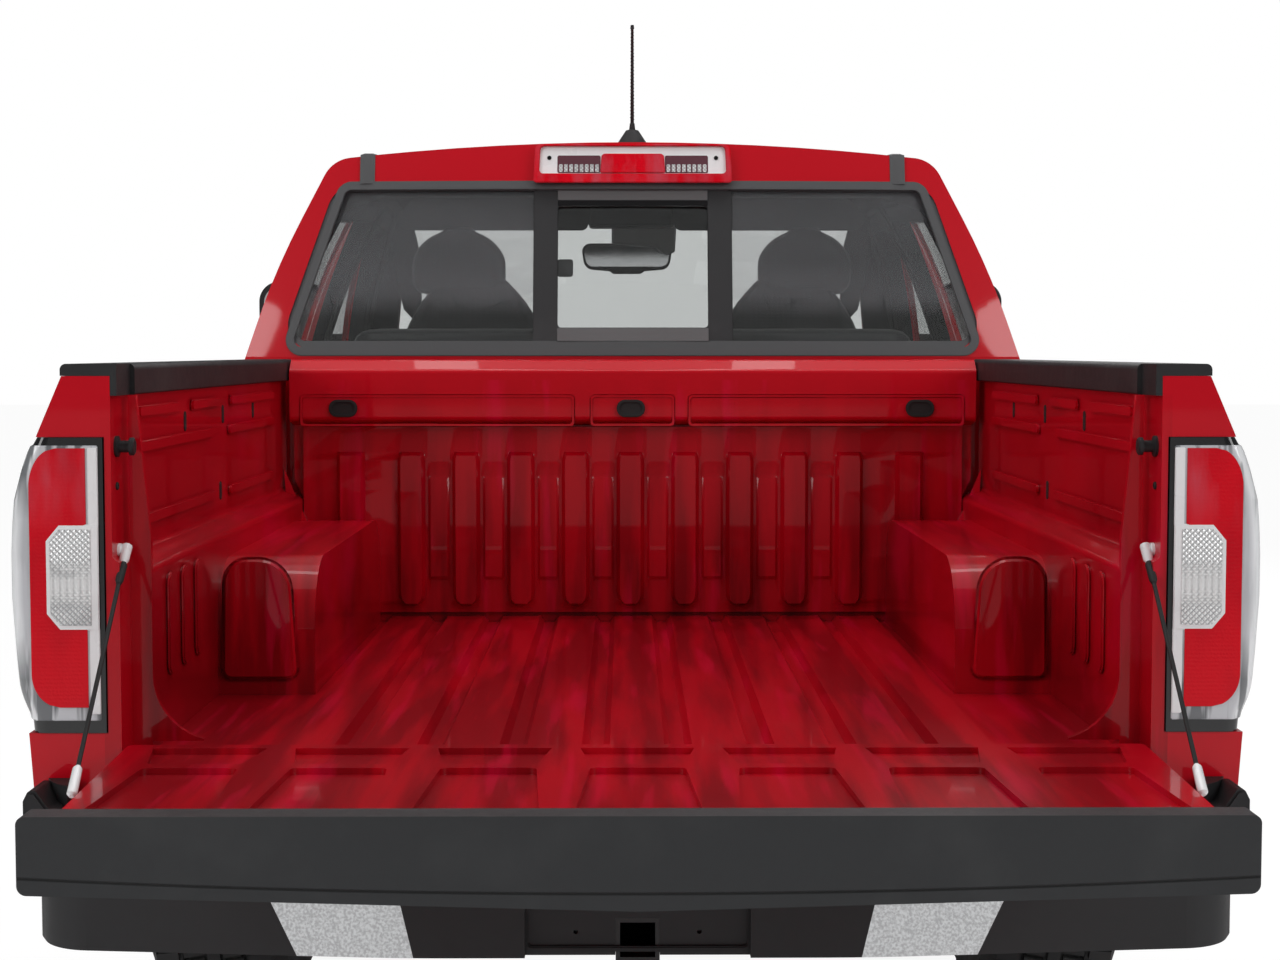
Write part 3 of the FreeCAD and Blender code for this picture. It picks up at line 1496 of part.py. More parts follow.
def wishbone(low, high, hole):
    """A right front arm from the frame to its ball joint, with room for the spring in the upper one."""
    root = s.rail_front_half + s.seat_gap
    waist = s.spring_half + s.spring_radius
    half = [
        (root, front_axle - s.arm_root_half),
        (waist, front_axle - s.arm_waist_half, s.spring_radius),
        (kingpin_x - s.arm_neck_inset, front_axle - s.arm_neck_half, s.spring_radius),
        (kingpin_x, front_axle - s.arm_ball_half),
    ]
    other = [(x, 2 * front_axle - y) + tuple(rest) for x, y, *rest in reversed(half)]
    arm = along_z(half + other, low, high)
    ball = Part.makeCylinder(s.arm_ball_half, high - low, Vector(kingpin_x, front_axle, low))
    arm = arm.fuse(ball)
    if hole:
        arm = arm.cut(Part.makeCylinder(s.spring_radius + s.edge_radius / 2, high - low,
                                        Vector(s.spring_half, front_axle, low)))
    return one(arm.removeSplitter())


def make_front_arms():
    lower_top = s.tyre_radius - s.kingpin_rise - s.seat_gap
    upper_low = s.tyre_radius + s.kingpin_rise + s.seat_gap
    lower = wishbone(lower_top - s.arm_thickness_front, lower_top, False)
    upper = wishbone(upper_low, upper_low + s.arm_thickness_front, True)
    spring = bar((s.spring_half, front_axle, lower_top), (s.spring_half, front_axle, s.spring_top_z),
                 s.spring_radius)
    return [lower.fuse(spring), upper]


def make_leaf():
    """A right leaf spring, bowed down onto the axle."""
    half_length = s.leaf_length / 2
    low = [
        (rear_axle + half_length, rear_leaf_z + s.leaf_rise),
        (rear_axle + s.axle_tube_radius * 2, rear_leaf_z, half_length * 2),
        (rear_axle - s.axle_tube_radius * 2, rear_leaf_z, half_length * 2),
        (rear_axle - half_length, rear_leaf_z + s.leaf_rise),
    ]
    high = [(y, z + s.leaf_thickness) + tuple(rest) for y, z, *rest in reversed(low)]
    return along_x(low + high, s.leaf_half - s.leaf_width / 2, s.leaf_half + s.leaf_width / 2)


def make_shock():
    x = s.rail_rear_half - s.rail_width - s.seat_gap - s.shock_radius
    foot_y = rear_axle + s.axle_tube_radius + s.shock_radius + s.seat_gap
    return bar((x, foot_y, s.tyre_radius - s.axle_tube_radius / 2),
               (x, foot_y + s.rail_bend, rail_rear_z + s.rail_height / 2), s.shock_radius)


def make_steering_rack():
    """The rack behind the axle line, with a tie rod reaching towards each knuckle."""
    y = front_axle - s.cradle_half_length - s.rack_radius - s.seat_gap
    z = s.tyre_radius - s.steering_arm_drop
    rack = bar((-s.rail_front_half, y, z), (s.rail_front_half, y, z), s.rack_radius)
    reach = kingpin_x - s.steering_arm_length
    rod = bar((s.rail_front_half - s.edge_radius, y, z), (reach, y, z), s.tie_rod_radius)
    return rack.fuse([rod, mirror(rod)])


arms = make_front_arms()
leaf = make_leaf()
shock = make_shock()
add("suspension", Part.makeCompound(
    arms + [mirror(arm) for arm in arms] + [leaf, mirror(leaf), shock, mirror(shock),
                                            make_steering_rack()]))


def make_rear_axle():
    """The axle tube with its differential housing and a drum inside each wheel."""
    face_x = wheel_x + s.rim_hub_offset - s.seat_gap
    axle = bar((-face_x, rear_axle, s.tyre_radius), (face_x, rear_axle, s.tyre_radius), s.axle_tube_radius)
    housing = Part.makeSphere(s.diff_radius, Vector(0, rear_axle, s.tyre_radius))
    pinion = bar((0, rear_axle, s.tyre_radius),
                 (0, rear_axle + s.pinion_reach, s.tyre_radius + s.pinion_rise),
                 s.pinion_radius)
    drums = []
    for side in (-1, 1):
        drums.append(bar((side * (face_x - s.drum_reach), rear_axle, s.tyre_radius),
                         (side * (face_x - s.disc_thickness), rear_axle, s.tyre_radius), s.drum_radius))
        drums.append(bar((side * (face_x - s.drum_reach), rear_axle, s.tyre_radius),
                         (side * face_x, rear_axle, s.tyre_radius), s.hub_radius))
    return one(axle.fuse([housing, pinion] + drums).removeSplitter())


add("rear_axle", make_rear_axle())


def make_knuckle():
    """The right front knuckle: its kingpin, hub, brake disc and steering arm."""
    face_x = wheel_x + s.rim_hub_offset - s.seat_gap
    pin = bar((kingpin_x, front_axle, s.tyre_radius - s.kingpin_rise),
              (kingpin_x, front_axle, s.tyre_radius + s.kingpin_rise), s.kingpin_radius)
    hub = bar((kingpin_x, front_axle, s.tyre_radius), (face_x, front_axle, s.tyre_radius), s.hub_radius)
    disc_x = face_x - s.disc_thickness * 2
    disc = bar((disc_x, front_axle, s.tyre_radius), (disc_x + s.disc_thickness, front_axle, s.tyre_radius),
               s.disc_radius)
    low = s.tyre_radius - s.steering_arm_drop - s.tie_rod_radius
    arm = block((kingpin_x - s.kingpin_radius, front_axle - s.steering_arm_length, low),
                (kingpin_x, front_axle, low + s.tie_rod_radius * 2))
    return one(pin.fuse([hub, disc, arm]).removeSplitter())


knuckle = make_knuckle()
add("knuckle_right", knuckle)
add("knuckle_left", mirror(knuckle))


# Engine and underside

def make_powertrain():
    """The engine block, the tapered gearbox behind it and the shaft to the rear axle."""
    half = s.engine_width / 2
    engine = block((-half, engine_back, s.engine_z), (half, engine_front, s.engine_z + s.engine_height))
    gearbox = Part.makeCone(s.gearbox_radius, s.gearbox_end_radius, s.gearbox_length,
                            Vector(0, engine_back, shaft_z), Vector(0, -1, 0))
    pinion = (0, rear_axle + s.pinion_reach + s.shaft_clearance, s.tyre_radius + s.pinion_rise)
    shaft = bar((0, engine_back - s.gearbox_length + s.edge_radius, shaft_z), pinion, s.shaft_radius)
    return one(engine.fuse([gearbox, shaft]).removeSplitter())


shaft_z = s.engine_z + s.shaft_rise

add("powertrain", make_powertrain())


def make_radiator():
    """The radiator in its support, standing on the rails, with the rubber stops that carry the hood."""
    back = nose - s.radiator_inset - s.radiator_thickness
    low = s.rail_front_z + s.rail_height + s.seat_gap
    core = block((-s.radiator_half, back, low),
                 (s.radiator_half, back + s.radiator_thickness, s.radiator_top_z))
    middle = back + s.radiator_thickness / 2
    stops = [bar((side * s.rail_front_half, middle, s.radiator_top_z),
                 (side * s.rail_front_half, middle, s.belt_z),
                 s.stop_radius) for side in (-1, 1)]
    under_hood = swept_front(s.hood_thickness + s.seat_gap)
    return one(core.fuse([stop.common(under_hood) for stop in stops]).removeSplitter())


add("radiator", make_radiator())


def make_tank():
    """The fuel tank between the left rail and the shaft."""
    outer = s.rail_mid_half - s.rail_width - s.seat_gap
    low = s.rail_mid_z - s.tank_drop
    section = [
        (-outer, low, s.overrun),
        (s.tank_width - outer, low, s.overrun),
        (s.tank_width - outer, low + s.tank_height, s.overrun),
        (-outer, low + s.tank_height, s.overrun),
    ]
    back = kick_rear_y + s.rail_bend + s.overrun
    return along_y(section, back, back + s.tank_length)


add("fuel_tank", make_tank())


def pipe(points):
    """An exhaust pipe through a row of points, rounded at each of them."""
    runs = [bar(points[i - 1], points[i], s.pipe_radius) for i in range(1, len(points))]
    bends = [Part.makeSphere(s.pipe_radius, Vector(*point)) for point in points[1:-1]]
    return runs[0].fuse(runs[1:] + bends)


def make_exhaust():
    """The exhaust: down from the engine, through the muffler, over the axle and out behind the wheel."""
    x = s.exhaust_half
    low = s.exhaust_z
    front = engine_back + s.rail_bend
    flange_z = s.engine_z + s.pipe_radius * 2
    muffler_front = kick_rear_y + s.rail_bend + s.tank_length - s.pipe_radius
    muffler_back = muffler_front - s.muffler_length
    over = rail_rear_z - s.pipe_radius - s.overrun / 2
    out = s.exhaust_out_half
    out_y = rear_axle - s.tyre_radius - s.wheelhouse_radius
    lead = pipe([
        (s.engine_width / 2 + s.seat_gap, front, flange_z),
        (x, front, flange_z),
        (x, front - s.rail_bend, low),
        (x, muffler_front - s.pipe_radius, low),
    ])
    muffler = bar((x, muffler_front, low), (x, muffler_back, low), s.muffler_radius)
    rest = pipe([
        (x, muffler_back + s.pipe_radius, low),
        (x, kick_rear_y, low),
        (x, rear_axle + s.rail_bend, over),
        (x, rear_axle - s.rail_bend, over),
        (out, rear_axle - s.rail_bend * 2, s.exhaust_out_z),
        (out, out_y, s.exhaust_out_z),
        (s.exhaust_end_half, out_y - s.rail_bend, s.exhaust_out_z),
    ])
    return one(lead.fuse([muffler, rest]).removeSplitter())


add("exhaust", make_exhaust())


# Wheels, as features bound to the sheet

def sketch_on(body, role, name, corners):
    """A closed sketch whose corner places are bound to expressions on the sheet."""
    plane = next(feature for feature in body.Origin.OriginFeatures if feature.Role == role)
    sketch = body.newObject("Sketcher::SketchObject", name)
    sketch.AttachmentSupport = [(plane, "")]
    sketch.MapMode = "FlatFace"
    points = [(value(u), value(v)) for u, v in corners]
    count = len(points)
    for i in range(count):
        sketch.addGeometry(Part.LineSegment(Vector(*points[i], 0), Vector(*points[(i + 1) % count], 0)),
                           False)
    for i in range(count):
        sketch.addConstraint(Sketcher.Constraint("Coincident", i, 2, (i + 1) % count, 1))
    for i, corner in enumerate(corners):
        for kind, expression, number in zip(("DistanceX", "DistanceY"), corner, points[i]):
            index = sketch.addConstraint(Sketcher.Constraint(kind, -1, 1, i, 1, number))
            sketch.setExpression(f"Constraints[{index}]", expression)
    return sketch


HALF_TYRE = "Sizes.tyre_width / 2"
HALF_RIM = "Sizes.rim_width / 2"
BEAD = "(Sizes.rim_radius + Sizes.seat_gap)"
TYRE_WALL = "(Sizes.tyre_radius - Sizes.rim_radius)"

# A tyre's section from bead to bead: sidewall bulge, shoulder and tread, as axial and radial places
TYRE_SECTION = [
    (f"-{HALF_TYRE} * 0.84", BEAD),
    (f"-{HALF_TYRE} * 0.95", f"{BEAD} + {TYRE_WALL} * 0.18"),
    (f"-{HALF_TYRE}", f"{BEAD} + {TYRE_WALL} * 0.48"),
    (f"-{HALF_TYRE} * 0.93", f"{BEAD} + {TYRE_WALL} * 0.82"),
    (f"-{HALF_TYRE} * 0.82", "Sizes.tyre_radius - Sizes.rim_wall / 4"),
    (f"-{HALF_TYRE} * 0.6", "Sizes.tyre_radius"),
    (f"{HALF_TYRE} * 0.6", "Sizes.tyre_radius"),
    (f"{HALF_TYRE} * 0.82", "Sizes.tyre_radius - Sizes.rim_wall / 4"),
    (f"{HALF_TYRE} * 0.93", f"{BEAD} + {TYRE_WALL} * 0.82"),
    (f"{HALF_TYRE}", f"{BEAD} + {TYRE_WALL} * 0.48"),
    (f"{HALF_TYRE} * 0.95", f"{BEAD} + {TYRE_WALL} * 0.18"),
    (f"{HALF_TYRE} * 0.84", BEAD),
]

# A rim's section: the barrel from flange to flange, the spoked face and the hub
RIM_SECTION = [
    (f"-{HALF_RIM}", "Sizes.rim_radius"),
    (f"-{HALF_RIM}", "Sizes.rim_radius - Sizes.rim_wall"),
    ("Sizes.rim_hub_offset + Sizes.rim_hub_thickness * 0.5", "Sizes.rim_radius - Sizes.rim_wall"),
    ("Sizes.rim_hub_offset + Sizes.rim_hub_thickness * 0.4", "Sizes.rim_hub_radius"),
    ("Sizes.rim_hub_offset", "Sizes.rim_hub_radius"),
    ("Sizes.rim_hub_offset", "0"),
    ("Sizes.rim_hub_offset + Sizes.rim_hub_thickness", "0"),
    ("Sizes.rim_hub_offset + Sizes.rim_hub_thickness", "Sizes.rim_hub_radius"),
    (f"{HALF_RIM} - Sizes.rim_wall", "Sizes.rim_radius - Sizes.rim_wall * 1.6"),
    (f"{HALF_RIM}", "Sizes.rim_radius - Sizes.rim_wall"),
    (f"{HALF_RIM}", "Sizes.rim_radius"),
]

# One opening between two spokes, as shares of the opening's inner and outer radius
WINDOW_SHARES = [(0.16, 1.0), (-0.16, 1.0), (-0.40, 0.88), (-0.18, 0.5), (0.18, 0.5), (0.40, 0.88)]


def place_wheel(body, side, axle):
    """Puts a wheel on its axle, its outer face to the side of the truck that it is on."""
    turn = FreeCAD.Rotation(Vector(0, 0, 1), -90 * side)
    body.Placement = FreeCAD.Placement(Vector(side * wheel_x, value(axle), s.tyre_radius), turn)
    body.setExpression("Placement.Base.x", f"Sizes.track / 2 * {side}")
    body.setExpression("Placement.Base.y", axle)
    body.setExpression("Placement.Base.z", "Sizes.tyre_radius")


def make_tyre(name):
    body = doc.addObject("PartDesign::Body", name)
    body.Label = name
    turned = body.newObject("PartDesign::Revolution", f"{name}_turned")
    sketch = sketch_on(body, "YZ_Plane", f"{name}_section", TYRE_SECTION)
    turned.Profile = sketch
    turned.ReferenceAxis = (sketch, ["H_Axis"])
    turned.Angle = 360
    body.Tip = turned
    return body


def make_rim(name):
    body = doc.addObject("PartDesign::Body", name)
    body.Label = name
    sketch = sketch_on(body, "YZ_Plane", f"{name}_section", RIM_SECTION)
    turned = body.newObject("PartDesign::Revolution", f"{name}_turned")
    turned.Profile = sketch
    turned.ReferenceAxis = (sketch, ["H_Axis"])
    turned.Angle = 360
    doc.recompute()
    half_pitch = math.pi / s.spoke_count
    corners = []
    for across_share, out_share in WINDOW_SHARES:
        turned_across = across_share * math.cos(half_pitch) + out_share * math.sin(half_pitch)
        turned_out = out_share * math.cos(half_pitch) - across_share * math.sin(half_pitch)
        corners.append((f"Sizes.rim_window_outer * {turned_across:.6f}",
                        f"Sizes.rim_window_outer * {turned_out:.6f}"))
    window = sketch_on(body, "XZ_Plane", f"{name}_window", corners)
    opening = body.newObject("PartDesign::Pocket", f"{name}_opening")
    opening.Profile = window
    opening.Type = 1
    opening.Midplane = True
    doc.recompute()
    spokes = body.newObject("PartDesign::PolarPattern", f"{name}_spokes")
    spokes.Originals = [opening]
    axis = next(feature for feature in body.Origin.OriginFeatures if feature.Role == "Y_Axis")
    spokes.Axis = (axis, [""])
    spokes.Angle = 360
    spokes.setExpression("Occurrences", "Sizes.spoke_count")
    body.Tip = spokes
    return body


for corner, side, axle in (("front_right", 1, FRONT_AXLE), ("front_left", -1, FRONT_AXLE),
                           ("rear_right", 1, REAR_AXLE), ("rear_left", -1, REAR_AXLE)):
    for kind, make in (("tyre", make_tyre), ("rim", make_rim)):
        body = make(f"{kind}_{corner}")
        place_wheel(body, side, axle)
        pieces.append(body)
doc.recompute()


def make_spare():
    """The spare wheel, hung flat under the box with its outer face down."""
    wheel = []
    for name in ("tyre_rear_right", "rim_rear_right"):
        solid = doc.getObject(name).Shape.copy()
        solid.translate(Vector(-wheel_x, -rear_axle, -s.tyre_radius))
        solid.rotate(Vector(0, 0, 0), Vector(0, 1, 0), 90)
        solid.translate(Vector(0, spare_y, s.spare_z))
        wheel.append(solid)
    return Part.makeCompound(wheel)


add("spare_wheel", make_spare())


# Interior

def make_dashboard():
    """The dashboard against the firewall, with the steering column out of its left half."""
    wall = firewall - s.front_wall_depth - s.seat_gap
    outline = [
        (wall, s.dash_bottom_z),
        (wall, s.dash_top_z),
        (wall - s.dash_depth * s.dash_top_share, s.dash_top_z, s.overrun * 2),
        (wall - s.dash_depth, s.dash_top_z - s.dash_brow, s.overrun * 2),
        (wall - s.dash_depth * s.dash_top_share, s.dash_bottom_z, s.overrun),
    ]
    dash = along_x(outline, -s.dash_half, s.dash_half)
    start = wheel_centre - column_axis * (s.wheel_rim_tube + s.seat_gap)
    end = wheel_centre - column_axis * (s.wheel_centre_back - s.column_reach)
    column = bar(start, end, s.column_radius)
    return one(dash.fuse(column).removeSplitter())


column_axis = Vector(0, -math.cos(math.radians(s.column_tilt)), math.sin(math.radians(s.column_tilt)))
wheel_centre = Vector(-s.seat_centre, firewall - s.front_wall_depth - s.wheel_centre_back, s.wheel_centre_z)
add("dashboard", make_dashboard())


def make_steering_wheel():
    """A three-spoke steering wheel square to its column."""
    rim = Part.makeTorus(s.wheel_rim_radius, s.wheel_rim_tube, wheel_centre, column_axis)
    hub = Part.makeCylinder(s.wheel_hub_radius, s.wheel_rim_tube * 2,
                            wheel_centre - column_axis * s.wheel_rim_tube,
                            column_axis)
    up = Vector(0, math.sin(math.radians(s.column_tilt)), math.cos(math.radians(s.column_tilt)))
    spokes = []
    for direction in (Vector(1, 0, 0), Vector(-1, 0, 0), up * -1):
        spokes.append(bar(wheel_centre, wheel_centre + direction * s.wheel_rim_radius,
                          s.wheel_rim_tube * s.spoke_share))
    return one(rim.fuse([hub] + spokes).removeSplitter())


add("steering_wheel", make_steering_wheel())

floor_z = s.cab_floor_z + s.cab_floor_thickness + s.seat_gap


def make_front_seat():
    """A right front seat: cushion on its base, leaning back and headrest."""
    low = s.seat_cushion_z - s.seat_cushion_thickness
    left = s.seat_centre - s.seat_width / 2
    right = s.seat_centre + s.seat_width / 2
    y = s.front_seat_y
    base = block((s.seat_centre - s.seat_base_half, y, floor_z),
                 (s.seat_centre + s.seat_base_half, y + s.seat_base_length, low))
    cushion = block((left, y, low), (right, y + s.seat_length, s.seat_cushion_z))
    lean = s.seat_lean
    back = along_x([
        (y, low + s.edge_radius),
        (y + s.seat_back_thickness, low + s.edge_radius),
        (y + s.seat_back_thickness - lean, s.seat_back_top_z, s.overrun),
        (y - lean, s.seat_back_top_z, s.overrun),
    ], left, right)
    rest_low = s.headrest_top_z - s.headrest_height
    rest_y = y - lean - s.seat_gap
    rest = block((s.seat_centre - s.headrest_width / 2, rest_y, rest_low),
                 (s.seat_centre + s.headrest_width / 2, rest_y + s.headrest_thickness, s.headrest_top_z))
    post_y = rest_y + s.headrest_thickness / 2
    post_foot = s.seat_back_top_z - s.overrun
    posts = []
    for x in (s.seat_centre - s.headrest_post_half, s.seat_centre + s.headrest_post_half):
        posts.append(bar((x, post_y, post_foot), (x, post_y, rest_low + s.overrun), s.headrest_post_radius))
    return one(base.fuse([cushion, back, rest] + posts).removeSplitter())


front_seat = make_front_seat()
add("seats_front", pair(front_seat))


def make_rear_seat():
    """The rear bench, across the cab against its back wall."""
    low = s.seat_cushion_z - s.seat_cushion_thickness
    wall = cab_back + s.front_wall_depth + s.overrun
    y = wall + s.seat_back_thickness
    half = s.rear_seat_half
    base = block((-half, y, floor_z), (half, y + s.rear_base_length, low))
    cushion = block((-half, y - s.overrun, low), (half, y + s.rear_cushion_length, s.seat_cushion_z))
    back = along_x([
        (wall, low),
        (y, low),
        (y, s.rear_seat_top_z, s.overrun),
        (wall, s.rear_seat_top_z, s.overrun),
    ], -half, half)
    return one(base.fuse([cushion, back]).removeSplitter())


add("seat_rear", make_rear_seat())


# Mirrors and antenna

door_face = cab_volume(-s.seat_gap, 0, door_front, -s.seat_gap)


def make_mirror():
    """A right door mirror: a rounded housing on a short arm from the door's corner."""
    y = door_front - s.mirror_inset
    inner = s.belt_half + s.mirror_gap
    outline = [
        (inner, s.mirror_z, s.overrun),
        (inner + s.mirror_width, s.mirror_z + s.edge_radius, s.mirror_radius),
        (inner + s.mirror_width, s.mirror_z + s.mirror_height, s.mirror_radius),
        (inner, s.mirror_z + s.mirror_height, s.overrun),
    ]
    housing = along_y(outline, y, y + s.mirror_depth)
    arm_y = y + (s.mirror_depth - s.mirror_arm_depth) / 2
    arm_z = s.mirror_z + s.overrun / 2
    arm = block((s.window_bend_half, arm_y, arm_z),
                (inner + s.overrun, arm_y + s.mirror_arm_depth, arm_z + s.overrun))
    return one(housing.fuse(arm.cut(door_face)).removeSplitter())


door_mirror = make_mirror()
add("mirror_right", door_mirror)
add("mirror_left", mirror(door_mirror))


def make_antenna():
    """The roof antenna: a domed foot with a short tail, and a thin mast leaning back."""
    y = cab_back + s.antenna_back_inset
    roof = upper_body(-s.seat_gap, -s.seat_gap)
    top = s.antenna_top_z
    low = top - s.antenna_base_height * 2
    half = s.antenna_base_half
    dome = Part.makeSphere(half, Vector(0, y, top - half))
    foot = Part.makeCylinder(half, top - half - low, Vector(0, y, low))
    tail_fin = along_x([
        (y, low),
        (y + s.antenna_base_length - half, low),
        (y + half / 2, top - s.edge_radius / 2, half),
        (y, top - s.edge_radius / 2),
    ], -s.antenna_fin_half, s.antenna_fin_half)
    foot = foot.fuse([dome, tail_fin]).cut(roof)
    mast = bar((0, y, top - s.edge_radius), (0, y - s.antenna_mast_lean, top + s.antenna_mast_length),
               s.antenna_mast_radius)
    return one(foot.fuse(mast).removeSplitter())


add("antenna", make_antenna())


# Door seals

def make_door_seals():
    """Rubber rings on the cab's door openings that the closed doors rest on."""
    near = cab_volume(s.skin_depth + s.seat_gap, 0, firewall, s.skin_depth + s.seat_gap)
    layer = near.cut(cab_lining)
    rings = []
    for outline in (front_door_outline, rear_door_outline):
        outer = across(outline(-s.seal_inset), 0, wide)
        inner = across(outline(-s.seal_inset - s.seal_width), 0, wide)
        ring = layer.common(outer.cut(inner))
        rings += [ring, mirror(ring)]
    return Part.makeCompound(rings)


add("door_seals", make_door_seals())


# Checks and files

doc.recompute()
for item in doc.Objects:
    if "Invalid" in item.State or "Error" in item.State:
        raise RuntimeError(f"{item.Name} could not be rebuilt")
for piece in pieces:
    if piece.Shape.isNull() or not piece.Shape.isValid() or not piece.Shape.Solids:
        raise RuntimeError(f"{piece.Label} is not a valid solid")
os.makedirs("parts", exist_ok=True)
for piece in pieces:
    piece.Shape.exportStep(f"parts/{piece.Label}.step")
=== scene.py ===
import json
import math

import bmesh
import bpy
from mathutils import Matrix, Vector


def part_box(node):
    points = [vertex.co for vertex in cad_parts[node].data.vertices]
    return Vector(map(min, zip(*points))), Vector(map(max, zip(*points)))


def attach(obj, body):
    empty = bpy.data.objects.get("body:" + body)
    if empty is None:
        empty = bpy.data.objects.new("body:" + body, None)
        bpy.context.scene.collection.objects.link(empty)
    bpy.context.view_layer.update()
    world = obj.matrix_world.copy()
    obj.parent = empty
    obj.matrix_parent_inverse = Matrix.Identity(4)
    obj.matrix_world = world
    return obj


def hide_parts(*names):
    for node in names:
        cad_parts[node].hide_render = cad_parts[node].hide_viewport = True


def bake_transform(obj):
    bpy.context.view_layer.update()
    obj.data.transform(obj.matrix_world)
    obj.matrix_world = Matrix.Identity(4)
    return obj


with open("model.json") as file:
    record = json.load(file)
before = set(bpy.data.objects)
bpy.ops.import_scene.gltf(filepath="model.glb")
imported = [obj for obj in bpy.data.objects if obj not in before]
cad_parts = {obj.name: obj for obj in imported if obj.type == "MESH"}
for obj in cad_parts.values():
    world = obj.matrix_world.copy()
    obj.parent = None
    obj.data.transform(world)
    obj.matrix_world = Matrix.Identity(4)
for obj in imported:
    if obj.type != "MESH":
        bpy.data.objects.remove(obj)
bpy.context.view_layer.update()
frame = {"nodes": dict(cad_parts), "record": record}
nodes = frame["nodes"]

# Places on the truck, in metres
TAIL = -2.3655
CAB_BACK = -0.7305
BOX_HEADER = -0.8415
BOX_WALL = 0.775
joint_places = {joint["name"]: joint.get("pos_m") for joint in frame["record"]["behaviour"]["joints"]}
WHEEL_X, FRONT_AXLE, WHEEL_Z = joint_places["roll_front_right"]
REAR_AXLE = joint_places["roll_rear_right"][1]

RED = (0.53, 0.0006, 0.0100)
TRIM_DARK = (0.016, 0.016, 0.0175)
WHITE = (1.0, 1.0, 1.0, 1.0)


# Materials: a number that varies, and a surface under construction
class Signal:
    """A number that varies over a surface and can be summed, scaled and compared."""

    def __init__(self, tree, socket):
        self.tree = tree
        self.socket = socket

    def math(self, operation, *values):
        node = self.tree.nodes.new("ShaderNodeMath")
        node.operation = operation
        for slot, number in zip(node.inputs, values):
            if isinstance(number, Signal):
                self.tree.links.new(number.socket, slot)
            else:
                slot.default_value = number
        return Signal(self.tree, node.outputs[0])

    def __add__(self, other):
        return self.math("ADD", self, other)

    def __radd__(self, other):
        return self.math("ADD", other, self)

    def __sub__(self, other):
        return self.math("SUBTRACT", self, other)

    def __rsub__(self, other):
        return self.math("SUBTRACT", other, self)

    def __mul__(self, other):
        return self.math("MULTIPLY", self, other)

    def __rmul__(self, other):
        return self.math("MULTIPLY", other, self)

    def __truediv__(self, other):
        return self.math("DIVIDE", self, other)

    def __gt__(self, other):
        return self.math("GREATER_THAN", self, other)

    def __lt__(self, other):
        return self.math("LESS_THAN", self, other)

    def __abs__(self):
        return self.math("ABSOLUTE", self)

    def lower(self, other):
        return self.math("MINIMUM", self, other)

    def higher(self, other):
        return self.math("MAXIMUM", self, other)

    def within(self, low, high):
        """0 below low, 1 above high, and a ramp between them."""
        return ((self - low) / (high - low)).higher(0.0).lower(1.0)

    def distance_to_step(self, step):
        """How far the number is from the nearest whole multiple of a step."""
        return self.math("PINGPONG", self, step / 2)


class Finish:
    """A material under construction on one principled shader."""

    def __init__(self, name, color, roughness, **constants):
        self.material = bpy.data.materials.new(name)
        self.material.use_nodes = True
        self.tree = self.material.node_tree
        self.shader = self.tree.nodes["Principled BSDF"]
        self.color = color
        self.set("Base Color", (*color, 1.0))
        self.set("Roughness", roughness)
        for key, number in constants.items():
            self.set(key.replace("_", " "), number)
        self.coordinates = None

    def set(self, socket, number):
        self.shader.inputs[socket].default_value = number

    def node(self, kind, output=0, links=(), **settings):
        """A node with its settings, its inputs linked or filled, as one signal."""
        node = self.tree.nodes.new("ShaderNode" + kind)
        for key, setting in settings.items():
            setattr(node, key, setting)
        for slot, source in links:
            if isinstance(source, Signal):
                self.tree.links.new(source.socket, node.inputs[slot])
            else:
                node.inputs[slot].default_value = source
        return Signal(self.tree, node.outputs[output])

    def place(self):
        """The point on the piece, as a vector."""
        if self.coordinates is None:
            self.coordinates = self.node("TexCoord", "Object")
        return self.coordinates

    def axes(self):
        place = self.place()
        return [self.node("SeparateXYZ", axis, [(0, place)]) for axis in "XYZ"]

    def scaled(self, stretch):
        return self.node("VectorMath", 0, [(0, self.place()), (1, stretch)], operation="MULTIPLY")

    def noise(self, scale, detail=3.0, stretch=(1, 1, 1)):
        links = [("Vector", self.scaled(stretch)), ("Scale", scale), ("Detail", detail)]
        return self.node("TexNoise", 0, links)

    def cells(self, scale, stretch=(1, 1, 1), output="Distance", feature="F1"):
        links = [("Vector", self.scaled(stretch)), ("Scale", scale)]
        return self.node("TexVoronoi", output, links, feature=feature)

    def facing(self):
        """The outward direction's parts along X, Y and Z."""
        normal = self.node("NewGeometry", "Normal")
        return [self.node("SeparateXYZ", axis, [(0, normal)]) for axis in "XYZ"]

    def feed(self, socket, signal):
        self.tree.links.new(signal.socket, self.shader.inputs[socket])

    def colors(self, amount, other, base=None):
        """A mix of the base colour and another one."""
        first = base if isinstance(base, Signal) else (*(base or self.color), 1.0)
        second = other if isinstance(other, Signal) else (*other, 1.0)
        return self.node("Mix", 2, [(0, amount), (6, first), (7, second)], data_type="RGBA")

    def tint(self, amount, other, base=None):
        mixed = self.colors(amount, other, base)
        self.feed("Base Color", mixed)
        return mixed

    def relief(self, height, depth, strength=1.0):
        """Turns a height into a bump on the surface, on top of an earlier one."""
        links = [("Height", height), ("Distance", depth), ("Strength", strength)]
        earlier = self.shader.inputs["Normal"].links
        if earlier:
            links.append(("Normal", Signal(self.tree, earlier[0].from_socket)))
        self.feed("Normal", self.node("Bump", 0, links))

    def cover(self, share, layer):
        """Lays another shader over the surface, as strong as the share says."""
        surface = Signal(self.tree, self.shader.outputs[0])
        mixed = self.node("MixShader", 0, [(0, share), (1, surface), (2, layer)])
        self.tree.links.new(mixed.socket, self.tree.nodes["Material Output"].inputs["Surface"])


def windshield_y(z):
    """How far forward the windshield's middle stands at a height, which is a number or a Signal."""
    return 1.335 - (z - 1.13) * 1.203


